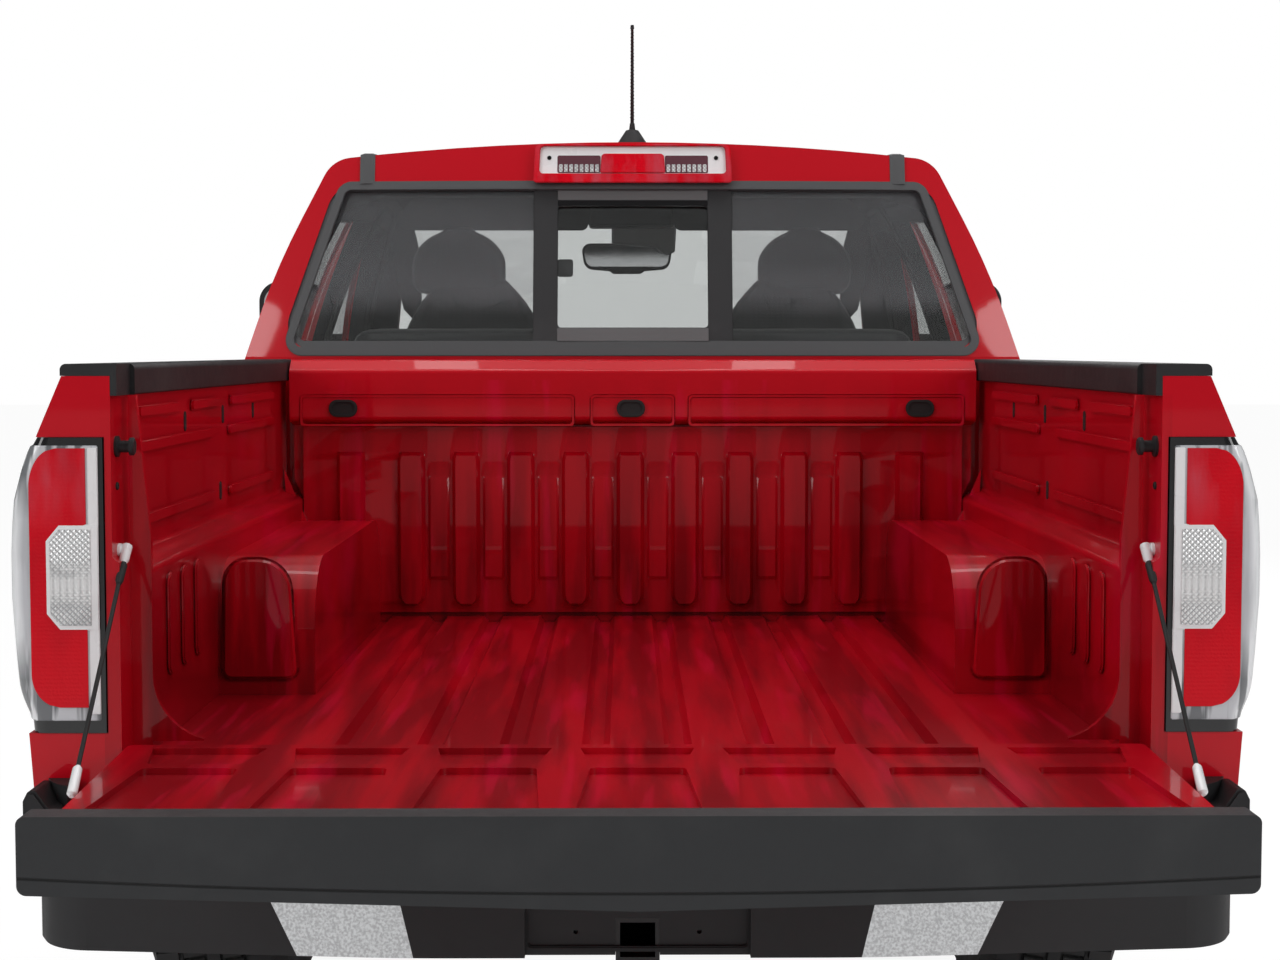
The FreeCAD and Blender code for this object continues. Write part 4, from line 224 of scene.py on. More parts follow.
def inside_cab(finish):
    """1 on the surfaces that face the cab's inside, judged by their place under the skin; it takes in the door
    edges too, where it paints shade.
    """
    x, y, z = finish.axes()
    below_waist = 0.905 - abs(z - 0.97) * 0.05
    rise = z - 1.30
    above_waist = 0.846 - rise * 0.27 - rise * rise * 0.24
    sag = y * y * 0.0583
    header = (y - 0.35).higher(0.0) * 0.2
    roof = (1.786 - sag - header - x * x * 0.0845).lower(1.749 - sag - (abs(x) - 0.66) * 0.7)
    across = abs(x) < below_waist.lower(above_waist)
    height = (z > 0.572) * (z < roof)
    ahead = (y < 1.30) * (y < windshield_y(z) - x * x * 0.195 + (z < 1.13) * 9.0)
    behind = y > (x * x * 0.0722 + (z - 1.285).higher(0.0) * 0.253 + CAB_BACK + 0.032)
    return across * height * ahead * behind


def make_paint(name, lined=False):
    """Red paint with painted shade deep in the load box and painted reflections along it; the lined kind is dark
    cloth inside the cab, and also paints shade on the door edges.
    """
    finish = Finish(name, RED, 0.34, Coat_Weight=0.5, Coat_Roughness=0.03, Specular_IOR_Level=0.12)
    broad = finish.noise(1.6, 4.0)
    flake = finish.noise(900.0, 1.0)
    color = finish.tint(broad.within(0.35, 0.8) * 0.35, (0.46, 0.001, 0.007))
    color = finish.tint(flake.within(0.62, 0.72) * 0.18, (0.66, 0.012, 0.018), color)
    dust = finish.noise(22.0, 6.0).within(0.55, 0.85) * finish.facing()[2].within(0.4, 1.0)
    color = finish.tint(dust * 0.02, (0.55, 0.36, 0.30), color)
    x, y, z = finish.axes()
    # Painted light in the load box: shade that deepens towards its floor, dark streaks that are painted
    # reflections of the ribs, and crimson painted glints
    bed = (abs(x) < 0.790) * (y > -2.95) * (y < -0.775) * (z < 1.235) * (z > 0.685)
    low = ((1.27 - z) / 0.45).higher(0.0).lower(1.0)
    streaks = finish.noise(5.0, 4.0, (3.4, 0.28, 0.40)).within(0.42, 0.58)
    glints = finish.noise(7.0, 4.0, (3.4, 0.25, 0.40)).within(0.56, 0.66)
    # Painted shade, darker low in the box, broken by dark painted reflection streaks
    color = finish.tint(bed * low * (0.22 + streaks * 0.50), (0.115, 0.0, 0.002), color)
    # Crimson painted glints, standing in for highlights on the paint
    color = finish.tint(bed * glints * 0.45, (0.62, 0.002, 0.040), color)
    roughness = 0.32 + broad * 0.06
    if lined:
        # Dark cloth lining inside the cab; the same mask also darkens the door edges, as painted shade in the shut
        # lines
        inner = inside_cab(finish)
        cloth = finish.colors(finish.cells(520.0), (0.030, 0.030, 0.032), TRIM_DARK)
        finish.feed("Base Color", finish.colors(inner, cloth, color))
        finish.feed("Coat Weight", 1.0 - inner)
        roughness = roughness + inner * 0.5
    finish.feed("Roughness", roughness)
    finish.relief(finish.noise(420.0, 2.0), 0.00012, 0.35)
    return finish.material


def make_grained(name, color, roughness, grain=1400.0, depth=0.00025, wear=(0.09, 0.09, 0.09)):
    """Moulded plastic with a fine leather-like grain."""
    finish = Finish(name, color, roughness, Specular_IOR_Level=0.42)
    worn = finish.noise(7.0, 5.0).within(0.52, 0.8)
    finish.tint(worn * 0.22, wear)
    pores = finish.cells(grain)
    finish.feed("Roughness", roughness + finish.noise(60.0, 3.0) * 0.14 - 0.07)
    finish.relief(pores, depth, 0.55)
    return finish.material


def make_smooth(name, color, roughness, **constants):
    """Smooth moulded plastic or a satin coating."""
    finish = Finish(name, color, roughness, **constants)
    soft = finish.noise(14.0, 5.0)
    finish.tint(soft.within(0.5, 0.85) * 0.25, tuple(min(1.0, part * 1.8 + 0.01) for part in color))
    finish.feed("Roughness", roughness + soft * 0.10 - 0.05)
    finish.relief(finish.noise(350.0, 2.0), 0.00008, 0.3)
    return finish.material


def make_metal(name, color, roughness, brush=(1, 1, 60), depth=0.00004):
    """Bare metal with fine brushing and faint stains."""
    finish = Finish(name, color, roughness, Metallic=1.0)
    lines = finish.noise(140.0, 3.0, brush)
    stain = finish.noise(9.0, 5.0).within(0.5, 0.8)
    finish.tint(stain * 0.3, tuple(part * 0.72 for part in color))
    finish.feed("Roughness", roughness + lines * 0.12 + stain * 0.06 - 0.05)
    finish.relief(lines, depth, 0.4)
    return finish.material


def make_glass(name, color, roughness=0.0, ripple=0.00002, **constants):
    finish = Finish(name, color, roughness, Transmission_Weight=1.0, IOR=1.46, **constants)
    smear = finish.noise(5.0, 5.0).within(0.5, 0.9)
    finish.tint(smear * 0.12, tuple(part * 0.9 for part in color))
    finish.feed("Roughness", roughness + smear * 0.012)
    finish.relief(finish.noise(3.0, 1.0), ripple, 0.2)
    return finish.material


def make_tyre():
    finish = Finish("tyre_rubber", (0.018, 0.018, 0.019), 0.72, Specular_IOR_Level=0.35)
    dust = finish.noise(18.0, 6.0).within(0.48, 0.8)
    finish.tint(dust * 0.45, (0.075, 0.070, 0.064))
    finish.feed("Roughness", 0.62 + dust * 0.22)
    finish.relief(finish.noise(260.0, 4.0), 0.0003, 0.5)
    return finish.material


def make_fabric():
    """Woven seat cloth with warp and weft."""
    finish = Finish("seat_cloth", (0.018, 0.0185, 0.020), 0.92, Sheen_Weight=0.25, Sheen_Roughness=0.5)
    x, y, z = finish.axes()
    warp = x.distance_to_step(0.0032) / 0.0016
    weft = (y + z).distance_to_step(0.0032) / 0.0016
    weave = warp * weft
    fuzz = finish.noise(220.0, 4.0)
    color = finish.tint(weave, (0.036, 0.037, 0.040))
    finish.tint(fuzz * 0.4, (0.012, 0.012, 0.013), color)
    finish.relief(weave + fuzz * 0.5, 0.0006, 0.7)
    return finish.material


def make_floor():
    """A pale floor that goes white towards the camera but keeps the shadow."""
    finish = Finish("studio_floor", (0.80, 0.80, 0.80), 0.9)
    finish.tint(finish.noise(0.7, 3.0) * 0.15, (0.86, 0.86, 0.86))
    glow = finish.node("Emission", 0, [("Color", WHITE), ("Strength", 1.10)])
    rays = ("Camera", "Glossy", "Transmission")
    seen, glossy, through = (finish.node("LightPath", f"Is {ray} Ray") for ray in rays)
    finish.cover(seen.higher(through) * 0.84 + glossy * 0.12, glow)
    return finish.material


def make_red_lamp():
    """Red moulded lens with rows of fine optics under its skin."""
    finish = Finish("red_lamp", (0.66, 0.0004, 0.010), 0.22, Coat_Weight=0.3, Coat_Roughness=0.02,
                    Specular_IOR_Level=0.1)
    x, y, z = finish.axes()
    rows = z.distance_to_step(0.006) / 0.003
    fine = finish.cells(260.0)
    streaks = finish.noise(26.0, 4.0, (1, 1, 0.22)).within(0.40, 0.66)
    color = finish.tint(rows * 0.10, (0.72, 0.006, 0.02))
    color = finish.tint(streaks * z.within(1.03, 1.11) * 0.55, (0.46, 0.10, 0.14), color)
    finish.tint(finish.noise(11.0, 4.0, (1, 1, 0.4)).within(0.46, 0.74) * 0.5, (0.34, 0.0, 0.008), color)
    finish.relief(rows, 0.0006, 0.2)
    finish.relief(fine, 0.0008, 0.25)
    return finish.material


def make_clear_lamp():
    """Clear lens with a diamond pattern over a bright reflector."""
    finish = Finish("clear_lamp", (0.70, 0.71, 0.71), 0.15, Metallic=0.35, Coat_Weight=1.0,
                    Coat_Roughness=0.03)
    x, y, z = finish.axes()
    first = (x + z).distance_to_step(0.0084) / 0.0042
    second = (x - z).distance_to_step(0.0084) / 0.0042
    diamonds = first.lower(second)
    bars = x.distance_to_step(0.010) / 0.005
    middle = 1.0 - (abs(z - 0.955) / 0.035).lower(1.0)
    pattern = diamonds * (1.0 - middle) + bars * middle
    color = finish.tint(pattern.within(0.0, 0.5), (0.88, 0.89, 0.89), (0.40, 0.41, 0.42))
    color = finish.tint(middle * 0.55, (0.95, 0.95, 0.95), color)
    finish.tint(finish.noise(30.0, 3.0, (0.3, 1, 1)).within(0.52, 0.64) * 0.5, (0.36, 0.37, 0.38), color)
    finish.relief(pattern, 0.0016, 0.5)
    return finish.material


def make_lamp_cover():
    """Clear cover over a bright housing: pale round the corner, dark ribs towards its ends."""
    finish = Finish("lamp_cover", (0.60, 0.61, 0.63), 0.14, Coat_Weight=0.8, Coat_Roughness=0.02)
    x, y, z = finish.axes()
    side = abs(finish.facing()[0])
    ends = (abs(z - 0.965) / 0.19).within(0.45, 0.80) * 0.85 + 0.15
    ribs = finish.noise(46.0, 3.0, (1, 1, 0.10)).within(0.48, 0.56)
    color = finish.tint(side.within(0.06, 0.45), (0.86, 0.87, 0.89), (0.56, 0.57, 0.60))
    finish.tint(ribs * ends * 0.85, (0.075, 0.082, 0.09), color)
    finish.feed("Roughness", 0.12 + ribs * 0.10)
    finish.relief(ribs, 0.0006, 0.3)
    return finish.material


def make_back_glass():
    """Tinted glass with a soft painted reflection of the sky, dark at its foot like a reflected line of trees."""
    finish = Finish("back_window_glass", (0.73, 0.745, 0.74), 0.0, Transmission_Weight=1.0, IOR=1.46)
    x, y, z = finish.axes()
    reflected_clouds = finish.noise(2.2, 5.0, (0.5, 1, 3.2))
    edge = z + reflected_clouds * 0.05
    sky = edge.within(1.405, 1.45) * (0.55 + reflected_clouds.within(0.35, 0.7) * 0.45)
    reflected_twigs = finish.cells(13.0, (1, 1, 1.4), feature="DISTANCE_TO_EDGE").within(0.0, 0.035)
    fixed_panes = abs(x) > 0.172
    # A lit grey layer over the fixed panes, as a painted reflection of sky, clouds and branches
    sky_reflection_layer = finish.node("BsdfDiffuse", 0, [("Color", (0.30, 0.31, 0.33, 1.0)), ("Roughness", 0.0)])
    finish.cover(sky * fixed_panes * 0.20 * (reflected_twigs + edge.within(1.44, 1.47)).lower(1.0), sky_reflection_layer)
    return finish.material


def make_lamp_chrome():
    """Bright lamp housing under a clear skin."""
    finish = Finish("lamp_chrome", (0.66, 0.67, 0.68), 0.18, Metallic=0.45, Coat_Weight=1.0,
                    Coat_Roughness=0.03)
    soft = finish.noise(16.0, 3.0)
    streak = finish.noise(30.0, 3.0, (1, 1, 0.15))
    color = finish.tint(soft.within(0.45, 0.6), (0.86, 0.87, 0.88))
    finish.tint(streak.within(0.52, 0.66) * 0.55, (0.30, 0.32, 0.34), color)
    finish.feed("Roughness", 0.14 + soft * 0.12)
    finish.relief(finish.noise(60.0, 2.0), 0.0004, 0.3)
    return finish.material


def make_screen():
    """A dark display glass."""
    finish = Finish("dark_screen", (0.008, 0.009, 0.011), 0.08, Coat_Weight=0.8)
    finish.tint(finish.noise(6.0, 3.0).within(0.4, 0.8) * 0.5, (0.016, 0.018, 0.022))
    finish.feed("Roughness", 0.06 + finish.noise(30.0, 4.0) * 0.08)
    return finish.material


def make_cap_trim():
    """Grained cover of the gate's edge, with a moulded groove along its foot that is painted near black as its
    shade.
    """
    finish = Finish("gate_cap_trim", (0.027, 0.028, 0.030), 0.54, Specular_IOR_Level=0.4)
    x, y, z = finish.axes()
    line = 0.616 + 0.022 + x * x * 0.035
    groove = 1.0 - (abs(z - line) / 0.0022).lower(1.0)
    worn = finish.noise(6.0, 5.0).within(0.52, 0.8)
    color = finish.tint(worn * 0.25, (0.085, 0.085, 0.085))
    # The groove's near black is painted shade in it
    finish.tint(groove, (0.006, 0.006, 0.006), color)
    finish.feed("Roughness", 0.47 + finish.noise(60.0, 3.0) * 0.14)
    finish.relief(finish.cells(1400.0), 0.00025, 0.5)
    finish.relief(1.0 - groove, 0.003, 0.9)
    return finish.material


def make_bumper():
    """Bumper skin: bright panels beside a black middle and black corner steps."""
    finish = Finish("bumper_skin", TRIM_DARK, 0.5)
    x, y, z = finish.axes()
    inner = abs(x) > (0.323 + (z - 0.435) * 0.237)
    outer = abs(x) < (0.493 + (z - 0.435) * 0.483)
    bright = inner * outer
    speckle = finish.noise(260.0, 4.0)
    finish.tint(bright, finish.colors(speckle.within(0.4, 0.6), (0.72, 0.73, 0.74), (0.50, 0.50, 0.51)))
    finish.feed("Metallic", bright)
    finish.feed("Roughness", 0.55 - bright * 0.40 + finish.noise(50.0, 3.0) * 0.08)
    finish.relief(finish.cells(1400.0) * (1.0 - bright), 0.00025, 0.5)
    return finish.material


# The materials, each with its slot in the record; a slot's first one dresses the CAD pieces
SLOT_OF = {}


def slotted(slot, material):
    SLOT_OF[material] = slot
    return material


PAINT = slotted("body_paint", make_paint("red_paint"))
CAB_PAINT = make_paint("red_paint_and_lining", lined=True)
BLACK_TRIM = slotted("black_trim", make_grained("black_trim", (0.014, 0.014, 0.0155), 0.56))
GREY_TRIM = slotted("grey_trim", make_grained("grey_trim", (0.027, 0.028, 0.030), 0.52))
slotted("window_glass", make_glass("tinted_glass", (0.73, 0.745, 0.74)))
slotted("headlamp_lens", make_glass("clear_lens", (0.95, 0.95, 0.95)))
slotted("red_lens", make_glass("red_lens", (0.62, 0.004, 0.010), Coat_Weight=0.6))
CHROME = slotted("bright_bumper", make_metal("bright_steel", (0.80, 0.81, 0.82), 0.12))
ALLOY = slotted("rim_alloy", make_metal("rim_alloy", (0.56, 0.57, 0.58), 0.30, (1, 1, 1)))
slotted("frame_black", make_smooth("frame_black", (0.020, 0.020, 0.021), 0.5))
slotted("engine_alloy", make_metal("cast_alloy", (0.33, 0.33, 0.34), 0.5, (1, 1, 1), 0.0004))
slotted("exhaust_steel", make_metal("exhaust_steel", (0.40, 0.38, 0.35), 0.42))
TYRE = slotted("tyre_rubber", make_tyre())
CLOTH = slotted("seat_fabric", make_fabric())
CABIN = slotted("cabin_plastic", make_grained("cabin_plastic", (0.024, 0.024, 0.026), 0.6))
RUBBER = slotted("cable_black", make_smooth("black_rubber", (0.012, 0.012, 0.0125), 0.68))
GLOSS_BLACK = slotted("black_trim", make_smooth("gloss_black", (0.010, 0.010, 0.011), 0.12, Coat_Weight=0.5))
RED_LAMP = slotted("red_lens", make_red_lamp())
CLEAR_LAMP = slotted("headlamp_lens", make_clear_lamp())
LAMP_CHROME = slotted("headlamp_lens", make_lamp_chrome())
LAMP_COVER = slotted("headlamp_lens", make_lamp_cover())
RED_RECESS = slotted("red_lens", make_smooth("lamp_recess", (0.115, 0.040, 0.055), 0.25, Coat_Weight=0.6))
LAMP_WHITE = slotted("headlamp_lens", make_smooth("lamp_white", (0.84, 0.84, 0.85), 0.28, Coat_Weight=0.6))
WINDOW_TRIM = slotted("grey_trim", make_grained("window_trim", (0.078, 0.080, 0.084), 0.5))
SLIDER_TRIM = slotted("grey_trim", make_grained("slider_trim", (0.125, 0.125, 0.128), 0.5))
MOUNT_GREY = slotted("cabin_plastic", make_smooth("mirror_mount", (0.34, 0.34, 0.345), 0.5))
MIRROR_GREY = slotted("cabin_plastic", make_smooth("mirror_glass", (0.52, 0.52, 0.53), 0.06, Metallic=1.0))
SCREEN = slotted("cabin_plastic", make_screen())

FINISHES = {slot: material for material, slot in reversed(SLOT_OF.items())}
FINISHES.update(seal_rubber=RUBBER, spare_rubber=TYRE)


def dress(node, material):
    if not nodes[node].material_slots:
        nodes[node].data.materials.append(material)
    for held in nodes[node].material_slots:
        held.link = "OBJECT"
        held.material = material


for entry in frame["record"]["subparts"]:
    dress(entry["node"], FINISHES[entry["material_slot"]])
for lined in ("cab_shell", "door_front_right", "door_front_left", "door_rear_right", "door_rear_left"):
    dress(lined, CAB_PAINT)
dress("rear_window", make_back_glass())
dress("tailgate_cap", make_cap_trim())
dress("rear_bumper", make_bumper())


# Camera: low behind the tailgate, level with the box's rails
def add_object(name, data):
    made = bpy.data.objects.new(name, data)
    bpy.context.scene.collection.objects.link(made)
    return made


camera = add_object("camera", bpy.data.cameras.new("camera"))
camera.data.lens = 59.2
camera.data.sensor_width = 36.0
camera.data.clip_end = 200.0
distance, height, tilt, turn = 3.10, 1.30, 3.53, -0.41
camera.location = (-0.018, TAIL - distance, height)
camera.rotation_euler = (math.radians(90.0 - tilt), 0.0, math.radians(turn))
bpy.context.scene.camera = camera


# Floor, world and lamps
def make_ground(half, z):
    """A square floor."""
    mesh = bpy.data.meshes.new("studio_floor")
    corners = [(-half, -half, z), (half, -half, z), (half, half, z), (-half, half, z)]
    mesh.from_pydata(corners, [], [(0, 1, 2, 3)])
    mesh.materials.append(make_floor())
    return add_object("studio_floor", mesh)


def make_world():
    """White behind the object, a soft light on it and a dimmer white in its reflections."""
    world = bpy.data.worlds.new("studio")
    bpy.context.scene.world = world
    world.use_nodes = True
    tree = world.node_tree
    paths = tree.nodes.new("ShaderNodeLightPath")
    rays = ("Camera", "Transmission", "Glossy")
    seen, through, glossy = (Signal(tree, paths.outputs[f"Is {ray} Ray"]) for ray in rays)
    strength = seen.higher(through).higher((1.0 - glossy) * 0.36).higher(0.09)
    background = tree.nodes["Background"]
    tree.links.new(strength.socket, background.inputs["Strength"])
    background.inputs["Color"].default_value = WHITE


def add_lamp(name, place, target, size, power):
    lamp = bpy.data.lights.new(name, "AREA")
    lamp.shape = "RECTANGLE"
    lamp.size, lamp.size_y = size
    lamp.energy = power
    made = add_object(name, lamp)
    made.location = place
    made.rotation_euler = (Vector(target) - Vector(place)).to_track_quat("-Z", "Y").to_euler()


make_ground(45.0, -0.001)
make_world()
add_lamp("lamp_above", (0.0, -1.5, 5.5), (0.0, -1.0, 0.6), (6.0, 5.0), 62.0)
for step, x in enumerate((-1.5, -0.55, 0.4, 1.35)):
    add_lamp(f"lamp_strip_{step}", (x, -0.6, 4.2), (x * 0.6, -1.6, 0.7), (0.22, 4.5), 13.0)
add_lamp("lamp_behind_left", (-5.0, -6.0, 3.6), (0.0, -1.5, 0.9), (3.0, 3.0), 118.0)
add_lamp("lamp_behind_right", (5.0, -6.0, 3.6), (0.0, -1.5, 0.9), (3.0, 3.0), 118.0)
add_lamp("lamp_front", (2.0, 7.0, 4.0), (0.0, 1.5, 0.8), (4.0, 3.0), 90.0)

bpy.context.scene.view_settings.view_transform = "Standard"


# Builders
SHARP = math.radians(38)


def opposite(name):
    """The same name on the other side of the truck."""
    return name.replace("right", "left")


def finish_piece(name, shape, material, body, bevel=0.0, steps=2):
    """Rounds a shape's sharp edges and puts it on its body."""
    bmesh.ops.remove_doubles(shape, verts=shape.verts, dist=1e-6)
    bmesh.ops.recalc_face_normals(shape, faces=shape.faces)
    if bevel:
        edges = [edge for edge in shape.edges if edge.is_manifold and edge.calc_face_angle(0.0) > SHARP]
        bmesh.ops.bevel(shape, geom=edges, offset=bevel, segments=steps, affect="EDGES", clamp_overlap=True)
    for edge in shape.edges:
        edge.smooth = edge.calc_face_angle(0.0) < SHARP
    for side in shape.faces:
        side.smooth = True
    mesh = bpy.data.meshes.new(name)
    shape.to_mesh(mesh)
    shape.free()
    mesh.materials.append(material)
    piece = add_object(name, mesh)
    if body:
        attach(piece, body)
    return piece


def make_piece(name, shape, material, body="truck", twin=False, stands_for=(), **edges):
    """One piece, and its mirror image on the left where it has a twin."""
    made = []
    if twin:
        other = shape.copy()
        bmesh.ops.scale(other, vec=(-1, 1, 1), verts=other.verts)
        made.append(finish_piece(opposite(name), other, material, opposite(body), **edges))
    made.append(finish_piece(name, shape, material, body, **edges))
    for piece in made:
        if stands_for:
            left = twin and piece is made[0]
            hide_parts(*(opposite(node) if left else node for node in stands_for))
    return made


def make_pair(name, shape, material, body="truck", **more):
    """A right piece and its twin on the left."""
    return make_piece(name + "_right", shape, material, body, twin=True, **more)


def rounded(corners, steps=5):
    """An outline whose corners (u, v, radius) are turned into arcs."""
    outline = []
    count = len(corners)
    for index, corner in enumerate(corners):
        here = Vector(corner[:2])
        radius = corner[2] if len(corner) > 2 else 0.0
        if radius == 0.0:
            outline.append(tuple(here))
            continue
        before = (Vector(corners[index - 1][:2]) - here).normalized()
        after = (Vector(corners[(index + 1) % count][:2]) - here).normalized()
        half = before.angle(after) / 2
        run = radius / math.tan(half)
        middle = here + (before + after).normalized() * (radius / math.sin(half))
        start = here + before * run - middle
        turn = start.angle_signed(here + after * run - middle)
        for step in range(steps + 1):
            angle = -turn * step / steps
            c, s = math.cos(angle), math.sin(angle)
            outline.append((middle.x + start.x * c - start.y * s, middle.y + start.x * s + start.y * c))
    return outline


def box_outline(u0, u1, v0, v1, radius=0.0, steps=5):
    return rounded([(u0, v0, radius), (u1, v0, radius), (u1, v1, radius), (u0, v1, radius)], steps)


def tapered(foot_half, head_half, foot, head, foot_radius, head_radius, steps=5, middle=0.0):
    """A four-sided outline whose foot and head differ in width."""
    return rounded([(middle - foot_half, foot, foot_radius), (middle + foot_half, foot, foot_radius),
                    (middle + head_half, head, head_radius), (middle - head_half, head, head_radius)], steps)


def flat(axis, level=0.0):
    """A plane across an axis: turns (u, v, depth) into a point."""
    def place(u, v, depth):
        across = level + depth
        return Vector({"x": (across, u, v), "y": (u, across, v), "z": (u, v, across)}[axis])
    return place


def divided(outline, parts):
    """An outline that can follow a curved face; parts turns an edge's length into its number of steps."""
    points = []
    for here, after in zip(outline, outline[1:] + outline[:1]):
        count = parts(math.dist(here, after))
        points += [(here[0] + (after[0] - here[0]) * k / count, here[1] + (after[1] - here[1]) * k / count)
                   for k in range(count)]
    return points


def loft(sections, closed=True, caps=True):
    """A skin over sections with equal numbers of points."""
    shape = bmesh.new()
    rows = [[shape.verts.new(point) for point in section] for section in sections]
    for low, high in zip(rows, rows[1:]):
        count = len(low)
        for index in range(count if closed else count - 1):
            after = (index + 1) % count
            shape.faces.new((low[index], low[after], high[after], high[index]))
    if caps:
        shape.faces.new(rows[0])
        shape.faces.new(rows[-1])
    return shape


def slab(outline, place, low, high):
    return loft([[place(u, v, depth) for u, v in outline] for depth in (low, high)])


def ring(outer, inner, place, low, high):
    """A frame between two outlines with equal numbers of points."""
    turn = [[place(*outer[i], low), place(*outer[i], high), place(*inner[i], high), place(*inner[i], low)]
            for i in range(len(outer))]
    return loft(turn + [turn[0]], caps=False)


def pipe(path, radius, steps=8, flatten=1.0):
    """A round bar along a path of points; the radius may vary along it."""
    points = [Vector(point) for point in path]
    radii = radius if isinstance(radius, (list, tuple)) else [radius] * len(points)
    across = None
    sections = []
    for index, point in enumerate(points):
        ahead = points[min(index + 1, len(points) - 1)] - points[max(index - 1, 0)]
        ahead.normalize()
        if across is None:
            across = ahead.orthogonal().normalized()
        across = (across - ahead * across.dot(ahead)).normalized()
        up = ahead.cross(across) * flatten
        turns = [2 * math.pi * step / steps for step in range(steps)]
        sections.append([point + (across * math.cos(a) + up * math.sin(a)) * radii[index] for a in turns])
    return loft(sections)


def panel(name, outline, place, low, high, material, *body, **more):
    """A flat piece between two depths from its place."""
    return make_piece(name, slab(outline, place, low, high), material, *body, **more)


def panel_pair(name, outline, place, low, high, material, *body, **more):
    return make_pair(name, slab(outline, place, low, high), material, *body, **more)


def lathe(profile, centre, axis, steps=24):
    """A turned shape: profile points are (distance along the axis, radius)."""
    along = {"x": Vector((1, 0, 0)), "y": Vector((0, 1, 0)), "z": Vector((0, 0, 1))}[axis]
    first = along.orthogonal().normalized()
    second = along.cross(first)
    centre = Vector(centre)
    sections = []
    for step in range(steps):
        angle = 2 * math.pi * step / steps
        out = first * math.cos(angle) + second * math.sin(angle)
        sections.append([centre + along * run + out * max(radius, 1e-5) for run, radius in profile])
    shape = loft(sections + [sections[0]], closed=profile[0] == profile[-1], caps=False)
    bmesh.ops.remove_doubles(shape, verts=shape.verts, dist=2e-5)
    return shape


def joined(*shapes):
    """Several shapes as one mesh."""
    whole = bmesh.new()
    for shape in shapes:
        mesh = bpy.data.meshes.new("joined")
        shape.to_mesh(mesh)
        shape.free()
        whole.from_mesh(mesh)
        bpy.data.meshes.remove(mesh)
    return whole


def grid_shape(point, columns, rows, thickness):
    """A curved plate: point(i, j, depth) gives its outer face at 0 and its inner face at the thickness."""
    shape = bmesh.new()
    faces = [[[shape.verts.new(point(i, j, depth)) for i in range(columns + 1)] for j in range(rows + 1)]
             for depth in (0.0, thickness)]
    for side in faces:
        for j in range(rows):
            for i in range(columns):
                shape.faces.new((side[j][i], side[j][i + 1], side[j + 1][i + 1], side[j + 1][i]))
    border = [(i, 0) for i in range(columns)] + [(columns, j) for j in range(rows)]
    border += [(i, rows) for i in range(columns, 0, -1)] + [(0, j) for j in range(rows, 0, -1)]
    for here, after in zip(border, border[1:] + border[:1]):
        (i, j), (m, n) = here, after
        shape.faces.new((faces[0][j][i], faces[0][n][m], faces[1][n][m], faces[1][j][i]))
    return shape


def touch(node, start, direction):
    """Where a straight line first meets a CAD piece."""
    found, point, _, _ = nodes[node].ray_cast(Vector(start), Vector(direction))
    return point if found else None


def bolt(centre, axis, radius, height, direction=1):
    """A screw head with a rounded rim and a shallow socket."""
    profile = [(0.0, 0.0), (0.0, radius), (height * 0.6, radius), (height, radius * 0.8),
               (height, radius * 0.45), (height * 0.5, radius * 0.4), (height * 0.5, 0.0)]
    return lathe([(run * direction, out) for run, out in profile], centre, axis, 12)


def clamped(number):
    """The number kept between 0 and 1."""
    return max(0.0, min(1.0, number))


# Rear window: surround, moulding, sliding pane's frame and its tracks
def glass_plane(u, v, depth):
    """A point on the cab's curved back window."""
    return Vector((u, -0.6998 + 0.0714 * u * u + (v - 1.35) * 0.2515 + depth, v))


def skin_plane(u, v, depth):
    """A point on the cab's curved back panel round the window."""
    return Vector((u, CAB_BACK + 0.0722 * u * u + (v - 1.285) * 0.253 + depth, v))


def window_outline(shrink, foot=1.294, top=1.690):
    """The window's outline moved in; it narrows as it rises."""
    def half(z):
        return 0.812 - (z - 1.300) * 0.328 - shrink * 1.05
    foot, top = foot + shrink, top - shrink
    return tapered(half(foot), half(top), foot, top, 0.052 - shrink, 0.052 - shrink, 8)


def window_frame(name, outline, width, place, low, high, bevel):
    """A frame as wide as its inner outline is moved in."""
    outer, inner = (divided(outline(shrink), lambda run: 12 if run > 0.1 else 1) for shrink in (0.0, width))
    make_piece(name, ring(outer, inner, place, low, high), WINDOW_TRIM, bevel=bevel)


def make_rear_window():
    window_frame("rear_window_surround", window_outline, 0.027, glass_plane, -0.009, 0.001, 0.003)
    window_frame("rear_window_moulding", lambda shrink: window_outline(shrink + 0.014, 1.273, 1.700), 0.020,
                 skin_plane, -0.0035, 0.006, 0.0015)
    outer = box_outline(-0.226, 0.226, 1.319, 1.668, 0.004)
    inner = box_outline(-0.170, 0.170, 1.351, 1.628, 0.008)
    make_piece("slider_frame", ring(outer, inner, glass_plane, -0.006, 0.001), GREY_TRIM, bevel=0.002)
    for name, foot, top, low, high, material in (("header", 1.6415, 1.667, -0.0085, -0.004, SLIDER_TRIM),
                                                 ("sill", 1.320, 1.350, -0.0085, -0.004, SLIDER_TRIM),
                                                 ("gasket", 1.628, 1.6410, -0.0075, -0.003, GLOSS_BLACK)):
        bar = box_outline(-0.171, 0.171, foot, top, 0.003)
        panel("slider_" + name, bar, glass_plane, low, high, material, bevel=0.001)
    pull = box_outline(-0.172, -0.136, 1.466, 1.506, 0.006)
    panel("slider_pull", pull, glass_plane, 0.008, 0.024, BLACK_TRIM, bevel=0.003)
    for level, name in ((1.330, "slider_track_low"), (1.655, "slider_track_high")):
        track = divided(box_outline(-0.60, 0.60, level - 0.007, level + 0.007, 0.003),
                        lambda run: max(1, math.ceil(run / 0.05)))
        panel(name, track, glass_plane, 0.0075, 0.020, GREY_TRIM, bevel=0.002)


make_rear_window()


# High stop lamp on the roof's rear edge
def roof_lamp_place(u, v, depth):
    return Vector((u, -0.6388 + (v - 1.737) * 0.25 + depth, v))


